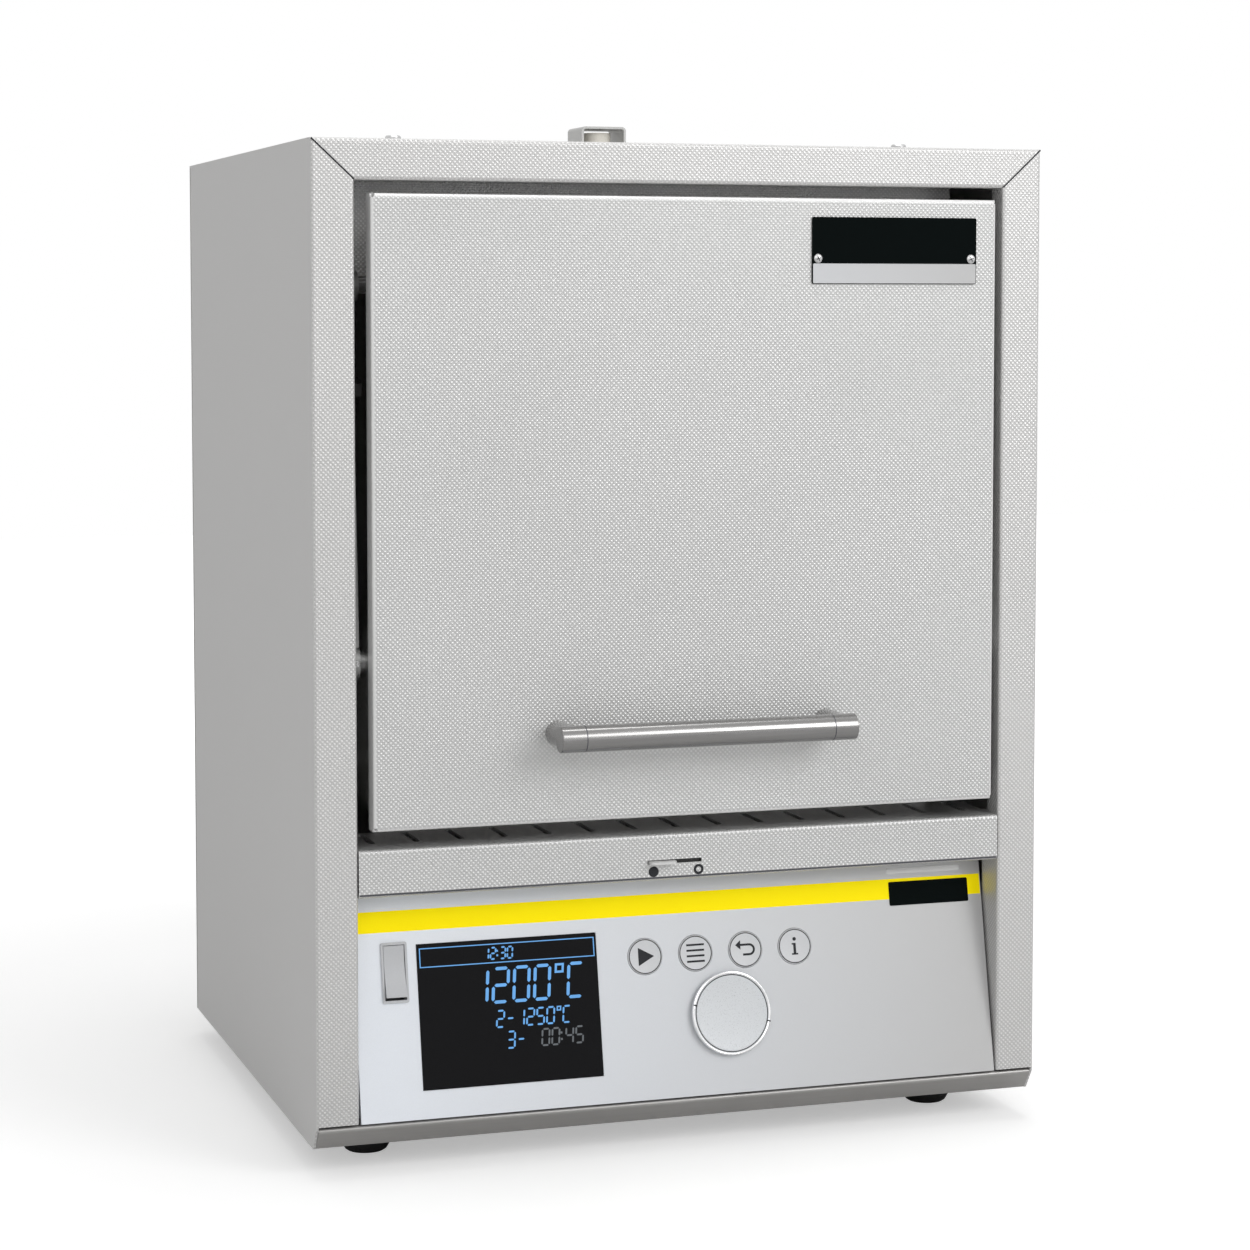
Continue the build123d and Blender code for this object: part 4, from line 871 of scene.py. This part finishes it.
class FURNACE_OT_finishes(bpy.types.Operator):
    """Finish of every piece of the frame: embossed steel, fibre board, film, plastics"""

    bl_idname = "furnace.finishes"
    bl_label = "Finishes"

    def execute(self, context):
        colours, sizes, _ = settings()
        FINISH.update(make_materials(colours, sizes))
        for finish, names in NODE_FINISH.items():
            for name in names:
                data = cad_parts[name].data
                data.materials.clear()
                data.materials.append(FINISH[finish])
        return {"FINISHED"}


class FURNACE_OT_plates(bpy.types.Operator):
    """Bare plate on the door with its pale strip and two screws, and the bare tab on the stripe"""

    bl_idname = "furnace.plates"
    bl_label = "Bare plates"

    def execute(self, context):
        low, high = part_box("name_plate")
        face = Place(((low.x + high.x) / 2, low.y, low.z), (1, 0, 0), (0, 0, 1))
        width, strip_top = high.x - low.x, 10.5 * MM
        outline = rounded(width - 0.6 * MM, strip_top - 0.6 * MM, 0.6 * MM)
        strip = slab(face.moved(0, strip_top / 2), outline, 0.05 * MM)
        make_piece("plate_strip", strip, "film", "door")
        screw_x, screw_up = width / 2 - 3.0 * MM, strip_top + 2.2 * MM
        spots = [face.moved(side * screw_x, screw_up) for side in SIDES.values()]
        lay_screws("plate_screws", spots, *PLATE_SCREW, "door", crossed=True)
        middle_x, middle_up, thickness = 140 * MM, 95.2 * MM, 0.16 * MM
        tab = slab(PANEL.moved(middle_x, middle_up), rounded(45 * MM, 12.4 * MM, 0.8 * MM), thickness)
        make_piece("stripe_tab", tab, "plate")
        return {"FINISHED"}


class FURNACE_OT_handle(bpy.types.Operator):
    """Dark seams where the handle's bar meets its two end caps"""

    bl_idname = "furnace.handle"
    bl_label = "Handle seams"

    def execute(self, context):
        low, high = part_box("handle_bar")
        radius, axis = (high.z - low.z) / 2, (low + high) / 2
        half, edge = 0.25 * MM, radius + 0.02 * MM
        inner = radius - half
        profile = [(inner, -half), (edge, -half), (edge, half), (inner, half), (inner, -half)]
        ends = [Place((x, axis.y, axis.z), (0, 1, 0), (0, 0, 1)) for x in (low.x, high.x)]
        seams = together(*[lathe(end, profile, 48) for end in ends])
        make_piece("handle_seams", seams, "spring_steel", "door")
        return {"FINISHED"}


# Inner corner of the front flanges, from the middle and up from the pan.
FLANGE_CORNER = np.array([171.3, 474.3]) * MM


class FURNACE_OT_mitres(bpy.types.Operator):
    """Painted shade: a dark line where the front flanges meet at the two top corners, for the shade in the
    open mitre
    """

    bl_idname = "furnace.mitres"
    bl_label = "Corner mitres"

    def execute(self, context):
        outer = np.array([CASING_HALF, ROOF_Z - PAN_Z]) - 0.3 * MM
        paths = [np.linspace(FLANGE_CORNER, outer, 20) * [side, 1] for side in SIDES.values()]
        width, thickness = 0.8 * MM, 0.03 * MM
        lines = together(*[ribbon(FRONT, path, width, thickness) for path in paths])
        make_piece("mitre_shade_lines", lines, "ink")
        return {"FINISHED"}


class FURNACE_OT_sill(bpy.types.Operator):
    """Closed-air dot and open-air ring under the shutter's slot, and a painted shadow line along the strip's
    lower edge
    """

    bl_idname = "furnace.sill"
    bl_label = "Air shutter marks"

    def execute(self, context):
        thickness = settings()[1].print_height
        level, closed_x, open_x = 129.0 * MM, -18.9 * MM, 5.1 * MM
        radius = 2.7 * MM
        profile = [(0, 0), (radius, 0), (radius, thickness), (0, thickness)]
        closed = lathe(FRONT.moved(closed_x, level), profile, 40)
        opened = annulus(FRONT.moved(open_x, level), 1.35 * MM, 2.65 * MM, thickness, 40)
        make_piece("air_marks", together(closed, opened), "ink")
        # Painted shadow: a thin dark strip under the sill's lower bend.
        low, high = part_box("fascia_sill")
        margin, line_low, line_high = 0.3 * MM, 125.35 * MM, 126.25 * MM
        line = rectangle(low.x + margin, high.x - margin, line_low, line_high)
        make_piece("sill_shadow_line", slab(FRONT, line, 0.45 * MM, -0.43 * MM), "spring_steel")
        return {"FINISHED"}


class FURNACE_OT_stripe(bpy.types.Operator):
    """Stripe over the control panel and the thin rule above it"""

    bl_idname = "furnace.stripe"
    bl_label = "Panel stripe"

    def execute(self, context):
        sizes = settings()[1]
        low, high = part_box("control_panel")
        edge = 0.4 * MM
        outline = rectangle(low.x + edge, high.x - edge, sizes.stripe_low, sizes.stripe_high)
        make_piece("panel_stripe", slab(PANEL, outline, sizes.print_height), "stripe")
        outline = rectangle(117 * MM, 158.5 * MM, 105.5 * MM, 108.6 * MM)
        make_piece("panel_rule", slab(PANEL, outline, sizes.print_height), "inner_steel")
        return {"FINISHED"}


class FURNACE_OT_display(bpy.types.Operator):
    """Figures and rules behind the display's window"""

    bl_idname = "furnace.display"
    bl_label = "Display"

    def execute(self, context):
        sizes = settings()[1]
        low, high, top = -137.9 * MM, -44.5 * MM, 85.5 * MM
        large, small = (sizes.digit_height, 1.6 * MM), (sizes.small_digit, 0.9 * MM)
        glass = PANEL.moved(0, 0, 0.5 * MM)
        bar = rectangle(low + 1.4 * MM, high - 1.4 * MM, top - 11.4 * MM, top - 2.2 * MM)
        corner = glass.moved(low, top)
        figures = together(
            ribbon(glass, bar, 0.5 * MM, LIT_HEIGHT, closed=True),
            readout(corner.moved(34 * MM, -9.6 * MM), "12:30", 5.6 * MM, 0.85 * MM),
            readout(corner.moved(27 * MM, -31 * MM), "1200oC", *large),
            readout(corner.moved(39 * MM, -43.4 * MM), "2-1250oC", *small),
            readout(corner.moved(44 * MM, -54 * MM), "3-", *small),
        )
        make_piece("display_figures", figures, "lit")
        dim = readout(corner.moved(62 * MM, -54 * MM), "00:45", *small)
        make_piece("display_dim_figures", dim, "unlit")
        return {"FINISHED"}


KEY_V = 71.8 * MM
KEY_FACE = 0.1 * MM
KEY_BALL = 80.2 * MM


def icon_start(place, thickness):
    """Filled triangle that points to the right."""
    corners = np.array([(-3.6, -4.6), (4.9, 0), (-3.6, 4.6)]) * MM
    edges = [np.linspace(corners[i], corners[(i + 1) % 3], 8)[:-1] for i in range(3)]
    return patch(place, np.concatenate(edges), thickness)


def icon_menu(place, thickness):
    """Four level bars."""
    bars = [
        ribbon(place, np.linspace((-4.8 * MM, level), (4.8 * MM, level), 12), 1.0 * MM, thickness)
        for level in np.linspace(-4.2 * MM, 4.2 * MM, 4)
    ]
    return together(*bars)


def icon_back(place, thickness):
    """Return arrow: a shaft, a half-round bend at its right end and a head at its left end."""
    turn = np.linspace(pi / 2, -pi / 2, 13)
    bend = np.stack([2.2 * MM + 2.5 * MM * np.cos(turn), 2.5 * MM * np.sin(turn)], axis=-1)
    shaft = np.linspace((-3.4 * MM, 2.5 * MM), bend[0], 8)[:-1]
    tail = np.linspace(bend[-1], (-1.4 * MM, -2.5 * MM), 6)[1:]
    head = np.array([(-5.4, 2.5), (-2.6, 0.1), (-2.6, 4.9)]) * MM
    line = ribbon(place, np.concatenate([shaft, bend, tail]), 1.1 * MM, thickness)
    return together(line, patch(place, head, thickness, rings=4))


def icon_info(place, thickness):
    """Letter i: a round dot over a stem with short serifs."""
    dot = patch(place, ring_points(0.95 * MM, 24) + np.array([0, 3.7 * MM]), thickness, rings=3)
    stem = ribbon(place, np.linspace((0, -4.2 * MM), (0, 1.6 * MM), 8), 1.4 * MM, thickness)
    foot = np.linspace((-1.7 * MM, -4.0 * MM), (1.7 * MM, -4.0 * MM), 5)
    flag = np.linspace((-1.5 * MM, 1.2 * MM), (0, 1.2 * MM), 3)
    return together(dot, stem, *[ribbon(place, serif, 0.8 * MM, thickness) for serif in (foot, flag)])


ICONS = {"start": icon_start, "menu": icon_menu, "back": icon_back, "info": icon_info}


class FURNACE_OT_keys(bpy.types.Operator):
    """Icon of each of the four keys, and a double dark ring near its edge as painted shade of the dished key
    """

    bl_idname = "furnace.keys"
    bl_label = "Keys"

    def execute(self, context):
        thickness = settings()[1].print_height
        for name, icon in ICONS.items():
            centre = PANEL.moved(middle(f"button_{name}").x, KEY_V, KEY_FACE)
            mark = icon(DishedPlace(centre, KEY_BALL), thickness)
            make_piece(f"icon_{name}", mark, "ink", f"{name}_key")
            rim = centre.moved(0, 0, 0.34 * MM)
            rings = together(
                annulus(rim, 8.25 * MM, 8.75 * MM, 0.1 * MM),
                annulus(rim.moved(0, 0, -0.12 * MM), 7.45 * MM, 7.75 * MM, 0.12 * MM),
            )
            make_piece(f"key_ring_shades_{name}", rings, "ink", f"{name}_key")
        return {"FINISHED"}


DIAL_FACE_R = 18.55 * MM
DIAL_DISH_LOW = 3.0 * MM
DIAL_BALL = 346.2 * MM
DIAL_CENTRE = PANEL.moved(25.0 * MM, 40.3 * MM)
DIAL_NOTCH_R = 20.4 * MM


class FURNACE_OT_dial(bpy.types.Operator):
    """Bright ring round the dial's face, with painted shade in the groove inside it and at its two small
    notches
    """

    bl_idname = "furnace.dial"
    bl_label = "Dial"

    def execute(self, context):
        rim = [(19.7, 3.25), (20.0, 3.62), (20.5, 3.78), (21.0, 3.6), (21.3, 3.0), (21.3, 2.4), (19.7, 2.4)]
        rim.append(rim[0])
        ring = lathe(DIAL_CENTRE, np.array(rim) * MM, 96)
        make_piece("dial_ring", ring, "bright_steel", "dial_wheel", smooth=True)
        radius = np.linspace(0, DIAL_FACE_R, 14)
        dish = DIAL_DISH_LOW + radius**2 / (2 * DIAL_BALL)
        top = np.column_stack([radius, dish + 0.03 * MM])
        foot = np.column_stack([radius[::-1], dish[::-1] - 0.05 * MM])
        face = lathe(DIAL_CENTRE, np.concatenate([top, foot]), 96)
        make_piece("dial_face", face, "dial", "dial_wheel", smooth=True)
        # Painted shade: dark ink in the groove between the face and the ring, and at the ring's notches.
        groove = annulus(DIAL_CENTRE.moved(0, 0, 3.36 * MM), 19.2 * MM, 19.6 * MM, 0.04 * MM, 96)
        make_piece("dial_groove_shade", groove, "ink", "dial_wheel")
        outline = rectangle(-0.9 * MM, 0.9 * MM, -0.35 * MM, 0.35 * MM)
        spots = [DIAL_CENTRE.turned(turn).moved(DIAL_NOTCH_R, 0) for turn in (radians(165), radians(-15))]
        notches = together(*[slab(spot, outline, 0.08 * MM, 3.72 * MM) for spot in spots])
        make_piece("dial_notch_shades", notches, "ink", "dial_wheel")
        return {"FINISHED"}


class FURNACE_OT_rear(bpy.types.Operator):
    """Screws of the rear panel, the rear cover, the fan and the mains inlet"""

    bl_idname = "furnace.rear"
    bl_label = "Rear fittings"

    def execute(self, context):
        low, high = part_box("rear_cover")
        centre_x, reach = (low.x + high.x) / 2, (high.x - low.x) / 2 - 6.5 * MM
        foot, top = low.z - PAN_Z + 10 * MM, high.z - PAN_Z - 10 * MM
        spots = [
            REAR.moved(side * reach - centre_x, level, 1.2 * MM)
            for level in np.linspace(foot, top, settings()[1].cover_screws)
            for side in SIDES.values()
        ]
        lay_screws("cover_screws", spots, *COVER_SCREW, head=screw_head)
        edge, height = CASING_HALF - 8 * MM, ROOF_Z - PAN_Z
        spots = [
            REAR.moved(side * edge, level)
            for level in (14 * MM, height * 0.3, height * 0.66, height - 12 * MM)
            for side in SIDES.values()
        ]
        fan, fan_screw = middle("fan_frame"), 35.75 * MM
        spots += [
            REAR.moved(side * fan_screw - fan.x, fan.z - PAN_Z + up * fan_screw)
            for side in SIDES.values()
            for up in (-1, 1)
        ]
        inlet = middle("mains_inlet")
        spots += [REAR.moved(side * 20 * MM - inlet.x, inlet.z - PAN_Z, 2.5 * MM) for side in SIDES.values()]
        lay_screws("rear_screws", spots, *SHEET_SCREW, crossed=True)
        return {"FINISHED"}


class FURNACE_OT_feet(bpy.types.Operator):
    """Screw and washer in the hollow of each rubber foot"""

    bl_idname = "furnace.feet"
    bl_label = "Feet"

    def execute(self, context):
        shells, thickness = [], 0.8 * MM
        for name in both("foot_front", "foot_rear"):
            centre = middle(name)
            spot = UNDERSIDE.moved(centre.x, -centre.y, 6 * MM)
            shells.append(washer(spot, 2.2 * MM, 4.3 * MM, thickness))
            shells.append(screw_head(spot.moved(0, 0, thickness), *FOOT_SCREW))
        make_piece("foot_screws", together(*shells), "screw_steel", smooth=True)
        return {"FINISHED"}


ARM_X = 168.5 * MM
BOSS_R = 10.0 * MM


class FURNACE_OT_linkage(bpy.types.Operator):
    """Set screws in the front edges of the arms' bosses and screws of the hinge plates"""

    bl_idname = "furnace.linkage"
    bl_label = "Door linkage"

    def execute(self, context):
        for side, sign in SIDES.items():
            for arm, body in (("upper_arm", "upper_links"), ("lower_arm", f"lower_link_{side}")):
                spots = self.boss_fronts(f"{arm}_{side}")
                lay_screws(f"{arm}_screws_{side}", spots, *SET_SCREW, body, screw_head)
            low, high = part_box(f"hinge_plate_{side}")
            wall = low.x if side == "left" else high.x
            face = Place((wall - sign * 2.5 * MM, 0, 0), (0, -sign, 0), (0, 0, 1))
            spots = [
                face.moved(-sign * depth, height)
                for depth in (low.y + 12 * MM, high.y - 12 * MM)
                for height in (low.z + 6 * MM, high.z - 6 * MM)
            ]
            lay_screws(f"hinge_screws_{side}", spots, *SHEET_SCREW)
        return {"FINISHED"}

    def boss_fronts(self, arm):
        """Places on the front of an arm's two bosses: the arm hangs with its far end forward."""
        low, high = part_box(arm)
        x = ARM_X * (1 if low.x > 0 else -1)
        bosses = ((high.y - 2 * BOSS_R, high.z - BOSS_R), (low.y, low.z + BOSS_R))
        return [Place((x, y, z), (1, 0, 0), (0, 0, 1)) for y, z in bosses]


class FURNACE_PT_sidebar(bpy.types.Panel):
    """Steps and settings of the furnace's finish"""

    bl_idname = "FURNACE_PT_sidebar"
    bl_label = "Muffle furnace"
    bl_space_type = "VIEW_3D"
    bl_region_type = "UI"
    bl_category = "Furnace"

    def draw(self, context):
        for step in STEPS:
            self.layout.operator(step.bl_idname)
        for group in settings():
            box = self.layout.box()
            for name in group.__annotations__:
                box.prop(group, name)


STEPS = (
    FURNACE_OT_stage,
    FURNACE_OT_finishes,
    FURNACE_OT_plates,
    FURNACE_OT_handle,
    FURNACE_OT_mitres,
    FURNACE_OT_sill,
    FURNACE_OT_stripe,
    FURNACE_OT_display,
    FURNACE_OT_keys,
    FURNACE_OT_dial,
    FURNACE_OT_linkage,
    FURNACE_OT_rear,
    FURNACE_OT_feet,
)
CLASSES = (*GROUPS.values(), *STEPS, FURNACE_PT_sidebar)


def register():
    """Adds the classes and the three groups of settings."""
    for each in CLASSES:
        bpy.utils.register_class(each)
    for name, group in GROUPS.items():
        setattr(bpy.types.Scene, name, PointerProperty(type=group))


def unregister():
    """Takes them away again."""
    for name in GROUPS:
        delattr(bpy.types.Scene, name)
    for each in reversed(CLASSES):
        bpy.utils.unregister_class(each)


def main():
    """Registers the add-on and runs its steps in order."""
    register()
    for step in STEPS:
        getattr(bpy.ops.furnace, step.bl_idname.split(".")[1])()


if __name__ == "__main__":
    main()
